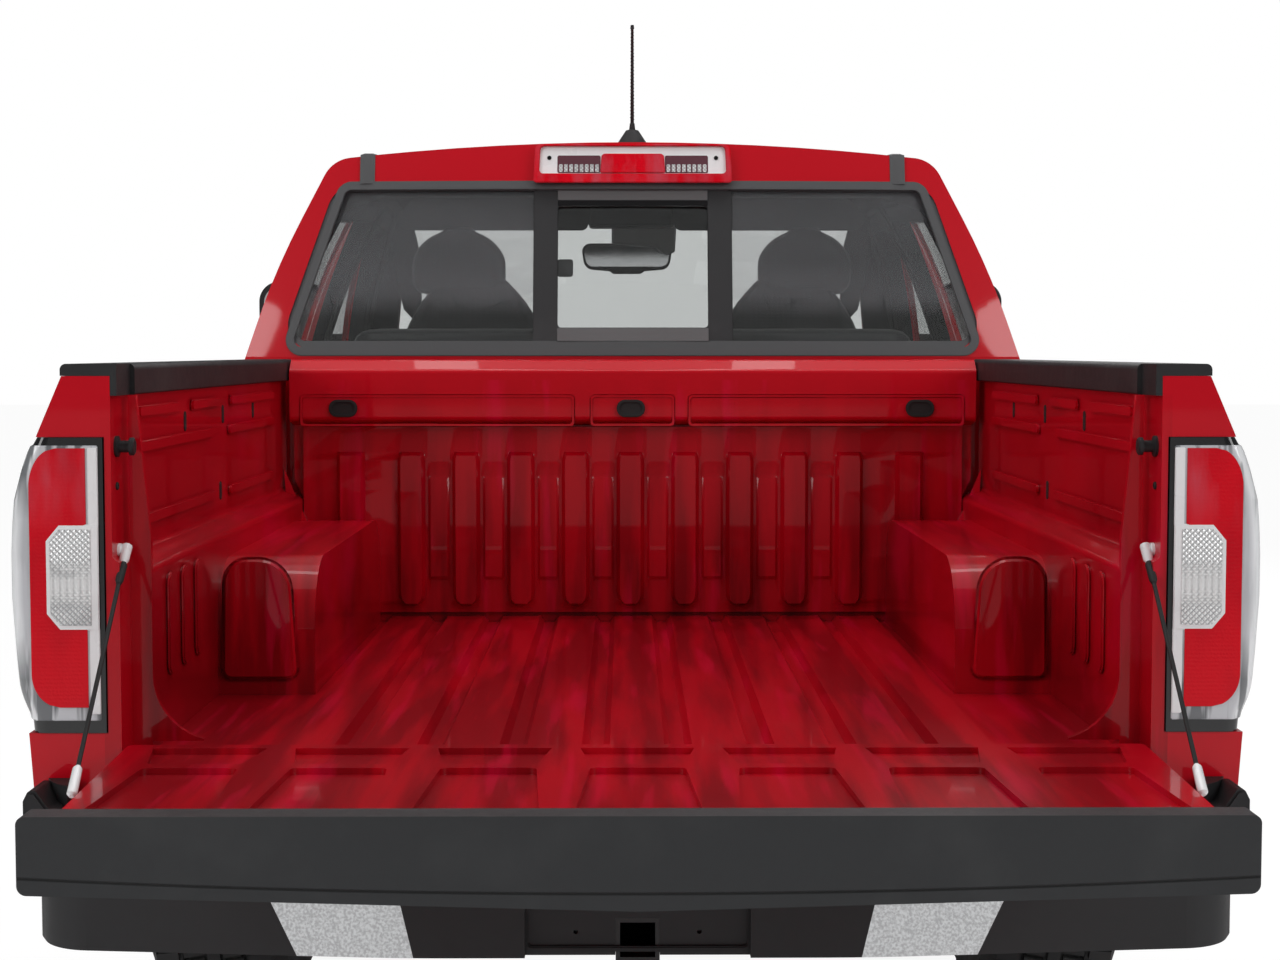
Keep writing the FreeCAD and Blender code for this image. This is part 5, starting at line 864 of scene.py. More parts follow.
def make_roof_lamp():
    def part(name, shape, material, bevel=0.0):
        make_piece("stop_lamp_" + name, shape, material, bevel=bevel, stands_for=("rear_lamps",))

    def plate(outline, low, high):
        return slab(outline, roof_lamp_place, low, high)
    outer = tapered(0.2265, 0.222, 1.680, 1.769, 0.008, 0.014)
    inner = tapered(0.2125, 0.210, 1.701, 1.764, 0.008, 0.011)
    part("housing", ring(outer, inner, roof_lamp_place, 0.0, 0.026), RED_LAMP, 0.002)
    part("reflector", plate(box_outline(-0.214, 0.214, 1.699, 1.766), 0.009, 0.030), LAMP_WHITE)
    for name, middle in (("right", 0.1225), ("left", -0.1225)):
        recess = box_outline(middle - 0.0490, middle + 0.0490, 1.7025, 1.7430, 0.004)
        part("recess_" + name, plate(recess, 0.0075, 0.012), RED_RECESS, 0.0008)
        cells = [plate(box_outline(x - 0.0042, x + 0.0042, 1.7045, 1.7225, 0.002), 0.0055, 0.0105)
                 for x in (middle + (step - 3.5) * 0.0118 for step in range(8))]
        part("cells_" + name, joined(*cells), CLEAR_LAMP, 0.001)
    part("centre", plate(tapered(0.074, 0.071, 1.7025, 1.7470, 0.003, 0.009), 0.002, 0.014), RED_LAMP, 0.002)
    screws = [bolt(roof_lamp_place(x, 1.7375, 0.0095), "y", 0.0052, 0.004, -1) for x in (-0.190, 0.190)]
    part("screws", joined(*screws), GLOSS_BLACK)


make_roof_lamp()


# Tail lamps wrapped round the corners of the box: the side's half width at each height
SIDE_LINE = [(0.700, 0.8990), (0.733, 0.9015), (0.785, 0.9065), (0.850, 0.9120), (0.932, 0.9172),
             (1.000, 0.9172), (1.045, 0.9150), (1.079, 0.9120), (1.124, 0.9000), (1.167, 0.8850),
             (1.182, 0.8790), (1.226, 0.8600)]
LAMP_FACE = -2.3712
LAMP_INNER = 0.785
LAMP_CORNER = 0.024
LAMP_TURN = LAMP_CORNER * math.pi / 2


def side_half(z):
    for (z0, x0), (z1, x1) in zip(SIDE_LINE, SIDE_LINE[1:]):
        if z <= z1:
            return x0 + (x1 - x0) * (z - z0) / (z1 - z0)
    return SIDE_LINE[-1][1]


def lamp_swell(z):
    """How far the lamp stands out of the box's side at a height."""
    low = clamped((z - 0.758) / 0.052)
    high = clamped((1.192 - z) / 0.048)
    return 0.0120 * math.sin(low * math.pi / 2) * math.sin(high * math.pi / 2)


def lamp_half(z):
    return side_half(z) - 0.0008 + lamp_swell(z)


def lamp_point(run, z, depth):
    """A point on the lamp: run goes out across the rear face, round the corner and forward."""
    out = lamp_half(z)
    straight = out - LAMP_CORNER - LAMP_INNER
    if run < straight:
        return Vector((LAMP_INNER + run, LAMP_FACE + depth, z))
    if run < straight + LAMP_TURN:
        angle = (run - straight) / LAMP_CORNER
        inside = LAMP_CORNER - depth
        x = out - LAMP_CORNER + inside * math.sin(angle)
        return Vector((x, LAMP_FACE + LAMP_CORNER - inside * math.cos(angle), z))
    ahead = run - straight - LAMP_TURN
    settle = lamp_swell(z) * (0.5 - 0.5 * math.cos(math.pi * min(1.0, ahead / 0.080)))
    return Vector((out - depth - settle, LAMP_FACE + LAMP_CORNER + ahead, z))


def lamp_patch(start, end, low, high, depth, thickness, columns, rows):
    """A plate on the lamp's face between run limits, which may depend on the height."""
    def point(i, j, inward):
        z = low + (high - low) * j / rows
        first = start(z) if callable(start) else start
        last = end(z) if callable(end) else end
        return lamp_point(first + (last - first) * i / columns, z, depth + inward)
    return grid_shape(point, columns, rows, thickness)


def corner_end(z):
    """The run at which the corner's turn ends."""
    return lamp_half(z) - LAMP_CORNER - LAMP_INNER + LAMP_TURN


def lamp_end(z):
    return corner_end(z) + 0.082


def frame_end(z):
    """The outer edge of the clear lamp's frame, with chamfered corners."""
    return 0.087 - 0.020 * max(0.0, 1.0 - min(z - 0.8868, 1.0440 - z) / 0.024)


def red_start(z):
    """The red lens's inner edge, which steps round the clear lamp."""
    near = clamped((0.0755 - abs(z - 0.9654)) / 0.003)
    return 0.0265 + (frame_end(z) - 0.003 - 0.0265) * near


def red_end(z):
    """The red lens's outer edge, with round corners."""
    low = clamped(1.0 - (z - 0.772) / 0.050)
    high = clamped(1.0 - (1.156 - z) / 0.058)
    return 0.110 - 0.042 * (1 - math.sqrt(1 - low ** 2)) - 0.040 * (1 - math.sqrt(1 - high ** 2))


def make_tail_lamp():
    def part(name, low, high, start, end, depth, thickness, material, columns=14, rows=24, bevel=0.0015):
        shape = lamp_patch(start, end, low, high, depth, thickness, columns, rows)
        make_pair("tail_lamp_" + name, shape, material, bevel=bevel, stands_for=("rear_lamps",))
    part("gasket", 0.7335, 1.1718, 0.0015, lambda z: lamp_end(z) + 0.004, 0.003, 0.030, GLOSS_BLACK, 60)
    part("shell", 0.752, 1.160, 0.0085, lamp_end, 0.0006, 0.012, LAMP_COVER, 60, 40)
    part("red", 0.772, 1.156, red_start, red_end, -0.0012, 0.007, RED_LAMP, 12, 96, 0.0008)
    part("marker", 0.790, 1.120, lambda z: corner_end(z) + 0.014, lambda z: lamp_end(z) - 0.008, -0.0012, 0.006,
         RED_LAMP)
    part("strip", 0.762, 1.157, 0.0085, 0.0235, -0.0008, 0.006, LAMP_WHITE)
    part("frame", 0.8868, 1.0440, 0.0085, frame_end, -0.0022, 0.010, LAMP_WHITE, 12, 26)
    part("clear", 0.8930, 1.0380, 0.0185, lambda z: frame_end(z) - 0.0055, -0.0032, 0.010, CLEAR_LAMP, 12, 26)


make_tail_lamp()


# Roof ditch mouldings, which turn down over the rear edge to the window
def ditch_path(x):
    """Points from the window's head, round the roof's rear edge and forward to the windshield's head."""
    middle = Vector((x, -0.50, 1.672))
    points = []
    for step in range(13):
        angle = math.radians(4 + 86 * step / 12)
        out = Vector((0, -math.cos(angle), math.sin(angle)))
        points.append(touch("cab_shell", middle + out, -out))
    for step in range(1, 14):
        points.append(touch("cab_shell", (x, middle.y + 0.98 * step / 13, 3.0), (0, 0, -1)))
    return [point for point in points if point]


def strip_on(path, half, height, sunk=0.002):
    """A low moulding lying along a path, facing away from the truck's middle."""
    profile = [(-half, -sunk), (-half, height * 0.6), (-half * 0.55, height), (half * 0.55, height),
               (half, height * 0.6), (half, -sunk)]
    across = Vector((1, 0, 0))
    sections = []
    for index, point in enumerate(path):
        ahead = (path[min(index + 1, len(path) - 1)] - path[max(index - 1, 0)]).normalized()
        up = across.cross(ahead)
        up = up if up.z > 0 or (abs(up.z) < 0.3 and up.y < 0) else -up
        sections.append([point + across * u + up * v for u, v in profile])
    return loft(sections)


make_pair("roof_moulding", strip_on(ditch_path(0.608), 0.017, 0.006), WINDOW_TRIM)


# Aerial: a leaning mast in a rubber foot, with a wire wound up it
def mast_y(z):
    """The mast's middle at a height."""
    back = touch("antenna", (0.0, -2.0, z), (0, 1, 0))
    front = touch("antenna", (0.0, 2.0, z), (0, -1, 0))
    return (back.y + front.y) / 2 if back and front else -0.28


def make_aerial():
    seat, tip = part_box("antenna")
    turns, sides = 26, 8
    low, high = 1.862, tip.z - 0.010
    wire = []
    for step in range(turns * sides + 1):
        share = step / (turns * sides)
        z = low + (high - low) * share
        angle = 2 * math.pi * turns * share
        radius = 0.0046 - 0.0014 * share
        wire.append((radius * math.cos(angle), mast_y(z) + radius * math.sin(angle), z))
    mast = [(0.0, mast_y(z), z) for z in (1.845, 1.90, 2.00, tip.z - 0.012, tip.z - 0.010, tip.z - 0.002)]
    foot = (0.0, mast_y(1.90), seat.z + 0.002)
    base = [(0.0, 0.0385), (0.005, 0.0385), (0.009, 0.0365), (0.037, 0.0180), (0.041, 0.0150), (0.043, 0.0075),
            (0.058, 0.0058), (0.060, 0.0)]
    make_piece("aerial_winding", pipe(wire, 0.0011, 5), BLACK_TRIM)
    make_piece("aerial_base", lathe(base, foot, "z", 32), BLACK_TRIM, stands_for=("antenna",))
    make_piece("aerial_mast", pipe(mast, [0.0046, 0.0042, 0.0038, 0.0034, 0.0050, 0.0038], 10), BLACK_TRIM,
               stands_for=("antenna",))


make_aerial()


# Load box: plugs and stampings on the header, and the pressed panel under it
def make_header_details():
    header = flat("y", BOX_HEADER)
    for name, low, high in (("left", -0.732, -0.128), ("middle", -0.095, 0.092), ("right", 0.120, 0.729)):
        outer = box_outline(low, high, 1.132, 1.203, 0.010)
        inner = box_outline(low + 0.007, high - 0.007, 1.139, 1.196, 0.006)
        make_piece("header_stamping_" + name, ring(outer, inner, header, -0.0022, 0.001), PAINT, bevel=0.002)
    for index, x in enumerate((-0.636, -0.005, 0.630)):
        plug = box_outline(x - 0.031, x + 0.031, 1.1535, 1.1915, 0.018)
        inner = box_outline(x - 0.024, x + 0.024, 1.1600, 1.1850, 0.012)
        panel(f"header_plug_{index}", plug, header, -0.0045, 0.001, RUBBER, bevel=0.002)
        rim = ring(plug, inner, header, -0.0085, -0.004)
        make_piece(f"header_plug_rim_{index}", rim, RUBBER, bevel=0.0015)


def make_wall_panel():
    """A pressed panel: tall ribs with shallow fields between them and short ribs at its ends."""
    pitch, middle, face = 0.1216, -0.006, -0.7932
    tall, field, short = 1, 2, 3
    # Each row: height, how wide the tall ribs are there, and whether each kind stands out
    rows = [(0.716, 0.3, 0, 0, 0), (0.731, 0.3, 0, 0, 0), (0.737, 0.6, 1, 0, 0), (0.747, 0.92, 1, 0, 0),
            (0.760, 1.0, 1, 0, 0), (0.790, 1.0, 1, 0, 0), (0.797, 1.0, 1, 1, 0), (0.838, 1.0, 1, 1, 0),
            (0.848, 1.0, 1, 1, 1), (1.016, 1.0, 1, 1, 1), (1.024, 1.0, 1, 0, 1), (1.055, 1.0, 1, 0, 1),
            (1.067, 0.9, 1, 0, 1), (1.075, 0.85, 0, 0, 0), (1.131, 0.85, 0, 0, 0)]
    columns = [(-1.0, 0.0, 0, 0.0)]
    for step in range(-5, 6):
        kind = short if abs(step) == 5 else tall
        centre = middle + step * (pitch if kind == tall else pitch * 1.02)
        columns += [(centre, offset, kind, high) for offset, high in
                    ((-0.031, 0.0), (-0.023, 0.016), (0.023, 0.016), (0.031, 0.0))]
        if -5 < step < 4:
            columns += [(centre + pitch / 2, offset, field, high) for offset, high in
                        ((-0.0235, 0.0), (-0.0185, 0.006), (0.0185, 0.006), (0.0235, 0.0))]
    columns.append((1.0, 0.0, 0, 0.0))

    def point(i, j, inward):
        centre, offset, kind, high = columns[i]
        z, wide, *lifts = rows[j]
        end = 0.7320 if z < 1.0 else 0.7325
        x = max(-end, min(end, centre + offset * (wide if kind == tall else 1.0)))
        lift = high * lifts[kind - 1] if kind else 0.0
        return Vector((x, face - lift + inward, z))
    shape = grid_shape(point, len(columns) - 1, len(rows) - 1, 0.0012)
    make_piece("front_wall_panel", shape, PAINT, bevel=0.0022)


make_header_details()
make_wall_panel()


# Load box: slots, beads and ribs of the sides, wheelhouse pressings and the gate's fittings on the jambs
def make_side_details():
    side = flat("x", BOX_WALL)
    # The slots are open holes; dark plates are put in them as their painted shade
    slot_shadows = [slab(box_outline(y - 0.009, y + 0.009, z - 0.017, z + 0.017, 0.007), side, -0.0012, 0.002)
             for y, z in ((-1.84, 1.178), (-1.50, 1.180), (-1.53, 1.038), (-1.18, 1.18))]
    make_pair("side_slot_shadows", joined(*slot_shadows), RUBBER, bevel=0.0005)
    beads = [slab(box_outline(start, end, z - 0.011, z + 0.011, 0.0105), side, -0.0065, 0.001)
             for start, end, z in ((-2.20, -1.90, 1.205), (-1.80, -1.56, 1.205), (-1.44, -0.95, 1.205),
                                   (-2.20, -1.62, 1.150), (-1.46, -0.95, 1.150), (-1.46, -0.95, 1.035),
                                   (-2.20, -1.60, 1.035))]
    make_pair("side_beads", joined(*beads), PAINT, bevel=0.004)
    ribs = [slab(box_outline(y - 0.026, y + 0.026, 0.790, 0.955, 0.022), flat("x", 0.734), -0.006, 0.001)
            for y in (-2.170, -2.065, -1.960)]
    make_pair("side_ribs", joined(*ribs), PAINT, bevel=0.004, steps=3)
    wheelhouse = touch("box_side_right", (0.66, -2.3, 0.80), (0, 1, 0))
    emboss = rounded([(0.590, 0.720, 0.02), (0.7285, 0.720, 0.02), (0.7245, 0.938, 0.045),
                      (0.604, 0.938, 0.060)], 8)
    back = flat("y", wheelhouse.y)
    panel_pair("wheelhouse_emboss", emboss, back, -0.014, 0.002, PAINT, bevel=0.009, steps=3)
    gusset = [[(0.7735, -0.806, 1.040), (0.733, -0.930, 0.716), (0.636, -0.800, 0.716)],
              [(0.7745, -0.796, 1.038), (0.7335, -0.915, 0.714), (0.642, -0.791, 0.714)]]
    make_pair("corner_gusset", loft(gusset), PAINT, bevel=0.001)


def make_jamb_fittings():
    """The gate's strikers and screws, and the check cables from their studs to the gate."""
    jamb_y, striker_z = -2.332, 1.157
    jamb = touch("box_side_right", (0.5, jamb_y, striker_z), (1, 0, 0))
    striker = [(0.0, 0.0), (0.0, 0.016), (-0.004, 0.016), (-0.006, 0.009), (-0.020, 0.009), (-0.021, 0.0135),
               (-0.026, 0.0135), (-0.028, 0.011), (-0.028, 0.0)]
    make_pair("gate_striker", lathe(striker, (jamb.x, jamb_y, striker_z), "x", 20), BLACK_TRIM)
    screws = [bolt((jamb.x, jamb_y, z), "x", 0.006, 0.003, -1) for z in (1.098, 0.852)]
    make_pair("jamb_screws", joined(*screws), RUBBER)
    top = Vector((0.764, -2.325, 1.001))
    foot = Vector((0.7608, -2.668, 0.702))
    length = (foot - top).length
    down = (foot - top).normalized()
    stud = [(0.0, 0.0), (0.0, 0.011), (-0.004, 0.011), (-0.005, 0.006), (-0.010, 0.006), (-0.013, 0.0085),
            (-0.017, 0.006), (-0.018, 0.0)]
    make_pair("cable_stud", lathe(stud, (jamb.x, top.y, top.z), "x", 16), LAMP_WHITE)
    wire = [0.05 + (length - 0.09) * step / 12 for step in range(13)]
    end = [length - run for run in (0.052, 0.047, 0.004, 0.0)]
    pieces = []
    for name, runs, radius, sides, material in (
            ("eye", (-0.012, -0.008, 0.020, 0.028), [0.004, 0.0085, 0.0075, 0.004], 10, LAMP_WHITE),
            ("sleeve", (0.024, 0.030, 0.062, 0.068), [0.004, 0.0068, 0.0060, 0.004], 10, RUBBER),
            ("wire", wire, 0.0033, 8, RUBBER),
            ("ferrule", end, [0.003, 0.0066, 0.0072, 0.0035], 10, LAMP_WHITE)):
        shape = pipe([top + down * run for run in runs], radius, sides)
        pieces += make_piece(f"cable_{name}_right", shape, material, None, stands_for=("tailgate_cables",))
    for piece in pieces:
        other = piece.data.copy()
        other.transform(Matrix.Scale(-1, 4, (1, 0, 0)))
        other.flip_normals()
        twin = add_object(opposite(piece.name), other)
        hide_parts("tailgate_cables")
        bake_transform(twin)
        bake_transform(piece)


make_side_details()
make_jamb_fittings()


# Seats: padded cushions with seams, over their frames
def padded_box(centre, half, radius, cells, sculpt):
    """A rounded pad; sculpt moves each point, which it is also given as shares of the half sizes."""
    shape = bmesh.new()
    bmesh.ops.create_cube(shape, size=2.0)
    bmesh.ops.subdivide_edges(shape, edges=shape.edges[:], cuts=cells, use_grid_fill=True)
    half = Vector(half)
    for vertex in shape.verts:
        share = vertex.co.copy()
        point = Vector(share[i] * half[i] for i in range(3))
        inner = Vector(max(-half[i] + radius, min(half[i] - radius, point[i])) for i in range(3))
        out = point - inner
        if out.length > 1e-9:
            point = inner + out.normalized() * radius
        vertex.co = sculpt(share, point) + Vector(centre)
    return shape


def seam(distance, width=0.006, depth=0.006):
    """How deep a stitched seam pulls the cloth in at a distance from it."""
    return depth * math.exp(-(distance / width) ** 2)


def make_pad(name, shape, node, twin=False):
    for piece in make_piece(name, shape, CLOTH, twin=twin, stands_for=(node,)):
        soften = piece.modifiers.new("soft", "SUBSURF")
        soften.levels = soften.render_levels = 1


def seat_cushion(share, point):
    """Side rolls, a dip for the sitter, cross seams and a rolled front edge."""
    if share.z > -0.2:
        roll = max(0.0, abs(share.x) - 0.62) / 0.38
        dip = 0.012 * (1 - share.x ** 2) * (1 - share.y ** 2)
        lift = share.z * (0.014 * math.sin(min(1.0, roll) * math.pi) - dip)
        cross = seam(share.y + 0.25, 0.03) + seam(share.y - 0.35, 0.03)
        point.z += lift - seam(abs(share.x) - 0.62, 0.03) - cross
    return point


def seat_back(centre_z, narrow, foot_y=0.0, head_y=0.0, foot=0.69, head=1.44):
    """Side rolls and seams on a back that narrows and leans from foot_y to head_y as it rises."""
    def sculpt(share, point):
        roll = max(0.0, abs(share.x) - 0.60) / 0.40
        front = max(0.0, share.y)
        point.y += front * (0.016 * math.sin(min(1.0, roll) * math.pi) - 0.010 * (1 - share.x ** 2))
        cross = seam(share.z - 0.45, 0.03) + seam(share.z + 0.30, 0.03)
        point.y -= front * (seam(abs(share.x) - 0.60, 0.03) + cross)
        point.x *= 1.0 - narrow * max(0.0, share.z) ** 2
        point.y += foot_y + (head_y - foot_y) * (centre_z + point.z - foot) / (head - foot)
        return point
    return sculpt


def headrest(share, point):
    """A head pad that narrows as it rises, with a dished face."""
    point.x *= 1.0 - 0.62 * max(0.0, share.z) ** 1.6
    point.y -= 0.008 * max(0.0, share.y) * (1 - share.x ** 2) * (1 - share.z ** 2)
    return point


def make_front_seats():
    cushion = padded_box((0.400, 0.410, 0.757), (0.248, 0.258, 0.072), 0.045, 13, seat_cushion)
    make_pad("front_cushion_right", cushion, "seats_front", twin=True)
    back_z = 1.090
    back = padded_box((0.415, 0.0, back_z), (0.240, 0.056, 0.395), 0.045, 13,
                      seat_back(back_z, 0.58, 0.208, 0.090))
    make_pad("front_backrest_right", back, "seats_front", twin=True)
    pad = padded_box((0.452, 0.074, 1.532), (0.122, 0.042, 0.088), 0.040, 9, headrest)
    make_pad("front_headrest_right", pad, "seats_front", twin=True)
    posts = joined(*(pipe([(x, 0.074, z) for z in (1.40, 1.47, 1.50)], 0.007, 10) for x in (0.397, 0.507)))
    make_pair("front_headrest_posts", posts, CHROME, stands_for=("seats_front",))
    base = loft([[(0.234, 0.16, z), (0.566, 0.16, z), (0.566, 0.56 + grow, z), (0.234, 0.56 + grow, z)]
                 for z, grow in ((0.587, 0.0), (0.64, 0.02), (0.70, 0.06))])
    make_pair("front_seat_base", base, CABIN, bevel=0.012, stands_for=("seats_front",))
    lever = pipe([(0.572, 0.22, 0.655), (0.580, 0.26, 0.665), (0.580, 0.33, 0.660), (0.574, 0.37, 0.650)],
                 [0.008, 0.011, 0.010, 0.006], 8)
    make_pair("front_seat_lever", lever, CABIN, stands_for=("seats_front",))


def make_rear_bench():
    back_z = 1.021
    for name, x, half in (("right", 0.392, 0.266), ("middle", 0.0, 0.124), ("left", -0.392, 0.266)):
        cushion = padded_box((x, -0.330, 0.757), (half, 0.224, 0.072), 0.045, 11, seat_cushion)
        make_pad("rear_cushion_" + name, cushion, "seat_rear")
        back = padded_box((x, -0.576, back_z), (half, 0.060, 0.328), 0.040, 11, seat_back(back_z, 0.03))
        make_pad("rear_backrest_" + name, back, "seat_rear")
    base = box_outline(-0.650, 0.650, -0.518, -0.212, 0.02)
    panel("rear_seat_base", base, flat("z"), 0.587, 0.700, CABIN, bevel=0.010, stands_for=("seat_rear",))


make_front_seats()
make_rear_bench()


# Cabin: mirror, visors, lamp console and handles along the windshield's head
def make_cabin_head():
    middle, mirror_y = -0.012, 0.655
    mirror = [(-0.122, 1.534, 0.028), (-0.05, 1.528, 0.01), (-0.04, 1.520, 0.01), (0.04, 1.520, 0.01),
              (0.05, 1.528, 0.01), (0.122, 1.534, 0.028), (0.134, 1.608, 0.024), (-0.134, 1.608, 0.024)]
    outline = rounded([(middle + u, v, radius) for u, v, radius in mirror], 6)
    panel("cabin_mirror", outline, flat("y", mirror_y), 0.0, 0.026, CABIN, bevel=0.007, steps=3)
    glass = tapered(0.116, 0.127, 1.541, 1.601, 0.022, 0.018, 6, middle)
    panel("cabin_mirror_glass", glass, flat("y", mirror_y), -0.0015, 0.004, MIRROR_GREY, bevel=0.001)
    visor = rounded([(0.120, 1.634, 0.02), (0.655, 1.634, 0.035), (0.655, 1.728, 0.01), (0.120, 1.728, 0.01)])
    panel_pair("sun_visor", visor, flat("y", 0.455), 0.0, 0.020, CABIN, bevel=0.006)
    console = box_outline(-0.119, 0.119, 1.640, 1.735, 0.01)
    panel("map_lamp_console", console, flat("y", 0.400), 0.0, 0.10, CABIN, bevel=0.008, steps=3)
    mount = rounded([(-0.056, 1.604, 0.006), (0.070, 1.596, 0.006), (0.100, 1.574, 0.010), (0.126, 1.580, 0.010),
                     (0.132, 1.690, 0.01), (-0.056, 1.690, 0.01)], 5)
    panel("mirror_mount", mount, flat("y", 0.612), 0.0, 0.030, MOUNT_GREY, bevel=0.006, steps=3)
    grip = []
    for z, half in ((1.395, 0.006), (1.42, 0.026), (1.50, 0.036), (1.60, 0.038), (1.66, 0.030), (1.69, 0.008)):
        section = box_outline(-half, half, -0.014, 0.014, 0.006, 3)
        grip.append([(0.648 + u, windshield_y(z) - 0.170 + v, z) for u, v in section])
    make_pair("pillar_handle", loft(grip), CABIN, bevel=0.003)
    head = touch("windshield", (0.0, 0.2, 1.655), (0, 1, 0))
    stalk = [(0.0, 0.675, 1.59), (0.0, 0.69, 1.62), (0.0, head.y - 0.004, 1.655)]
    make_piece("cabin_mirror_stalk", pipe(stalk, [0.007, 0.008, 0.016], 10), CABIN)


def make_dashboard_fittings():
    arch = [(math.cos(math.pi * k / 12), math.sin(math.pi * k / 12)) for k in range(13)]
    hood = [[(-0.400 + u * half, y, 1.105 + v * tall) for u, v in arch] for y, half, tall in
            ((0.926, 0.150, 0.070), (0.950, 0.160, 0.076), (1.020, 0.165, 0.062), (1.07, 0.160, 0.040))]
    make_piece("instrument_hood", loft(hood), CABIN, bevel=0.004)
    dial = [(-0.010, 0.0), (-0.010, 0.046), (0.004, 0.050), (0.006, 0.046), (0.0, 0.042), (-0.001, 0.0)]
    for name, x in (("speed", -0.462), ("engine", -0.338)):
        make_piece("dial_" + name, lathe(dial, (x, 0.934, 1.125), "y", 28), GLOSS_BLACK)
    screen = box_outline(-0.125, 0.125, 1.030, 1.165, 0.012)
    panel("centre_screen", screen, flat("y", 0.885), -0.016, 0.010, SCREEN, bevel=0.004)
    for index, x in enumerate((-0.70, -0.165, 0.165, 0.70)):
        outer = box_outline(x - 0.046, x + 0.046, 1.052, 1.112, 0.012)
        inner = box_outline(x - 0.038, x + 0.038, 1.060, 1.104, 0.008)
        vanes = [slab(box_outline(x - 0.038, x + 0.038, z - 0.002, z + 0.002), flat("y", 0.874), 0.0, 0.012)
                 for z in (1.066, 1.076, 1.086, 1.096)]
        vent = joined(ring(outer, inner, flat("y", 0.870), -0.006, 0.012), *vanes)
        make_piece(f"air_vent_{index}", vent, CABIN, bevel=0.0008)
    knob = [(0.0, 0.0), (0.0, 0.024), (-0.016, 0.021), (-0.019, 0.018), (-0.019, 0.0)]
    for index, x in enumerate((-0.075, 0.0, 0.075)):
        make_piece(f"heater_knob_{index}", lathe(knob, (x, 0.845, 0.975), "y", 24), GREY_TRIM)
    lid = box_outline(0.240, 0.640, 0.905, 1.010, 0.018)
    panel("glove_box", lid, flat("y", 0.829), -0.010, 0.010, CABIN, bevel=0.006)


def make_console():
    """The centre console, with the gear lever and two cup holders."""
    foot = 0.764
    sides = ((0.100, 0.02, 0.900), (0.105, 0.06, 0.930), (0.105, 0.34, 0.930), (0.100, 0.38, 0.865),
             (0.100, 0.72, 0.870), (0.110, 0.83, 0.930))
    console = loft([[(x, y, foot), (x, y, top), (-x, y, top), (-x, y, foot)] for x, y, top in sides])
    make_piece("centre_console", console, CABIN, bevel=0.012, steps=3)
    lever = [(0.0, 0.55, 0.865), (0.0, 0.55, 0.93), (0.0, 0.545, 0.975), (0.0, 0.54, 1.005), (0.0, 0.54, 1.02)]
    make_piece("gear_lever", pipe(lever, [0.020, 0.008, 0.008, 0.022, 0.012], 14), RUBBER)
    cup = [(0.0, 0.038), (0.004, 0.038), (0.004, 0.032), (-0.004, 0.030), (-0.004, 0.0)]
    for index, y in enumerate((0.415, 0.500)):
        make_piece(f"cup_holder_{index}", lathe(cup, (0.0, y, 0.868), "z", 24), GLOSS_BLACK)


def make_door_lining(name, door, low, high):
    """An armrest, a pocket and a handle on the inside of a door, between two places along it."""
    inner = touch(door, (0.4, (low + high) / 2, 0.95), (1, 0, 0))
    side = flat("x", inner.x)
    rest = rounded([(low, 0.905, 0.02), (high, 0.905, 0.03), (high, 0.985, 0.03), (low, 0.955, 0.02)], 6)
    panel_pair("armrest_" + name, rest, side, -0.060, 0.002, CABIN, door, bevel=0.014, steps=3)
    pocket = box_outline(low + 0.02, high - 0.04, 0.640, 0.760, 0.03)
    panel_pair("door_pocket_" + name, pocket, side, -0.028, 0.002, CABIN, door, bevel=0.008)
    handle = [(inner.x - 0.004, high - 0.13, 1.06), (inner.x - 0.022, high - 0.11, 1.065),
              (inner.x - 0.022, high - 0.04, 1.065), (inner.x - 0.004, high - 0.02, 1.06)]
    make_pair("inner_handle_" + name, pipe(handle, 0.007, 8), CHROME, door)


make_cabin_head()
make_dashboard_fittings()
make_console()
make_door_lining("front", "door_front_right", 0.30, 0.86)
make_door_lining("rear", "door_rear_right", -0.42, 0.02)


# Wheels: tread blocks, side walls, nuts and caps
TREAD = 0.3772
TREAD_COUNT = 54


def wheel_point(y, run, radius, turn):
    """A point on a right wheel; turn counts tread blocks round it."""
    angle = 2 * math.pi * turn / TREAD_COUNT
    return Vector((WHEEL_X + run, y + radius * math.cos(angle), WHEEL_Z + radius * math.sin(angle)))


def add_block(shape, corners, quads):
    made = [shape.verts.new(point) for point in corners]
    for quad in quads:
        shape.faces.new([made[index] for index in quad])


def make_casing(y):
    half = [(0.098, 0.245), (0.112, 0.246), (0.117, 0.256), (0.122, 0.268), (0.127, 0.285), (0.1295, 0.305),
            (0.1288, 0.318), (0.1296, 0.322), (0.1282, 0.327), (0.127, 0.340), (0.1272, 0.345), (0.122, 0.358),
            (0.114, 0.370), (0.104, TREAD - 0.001), (0.060, TREAD), (0.058, TREAD - 0.004), (0.052, TREAD - 0.004),
            (0.050, TREAD), (0.012, TREAD), (0.0, TREAD - 0.003)]
    profile = half + [(-run, out) for run, out in reversed(half[:-1])]
    return lathe(profile + [profile[0]], (WHEEL_X, y, WHEEL_Z), "x", 80)


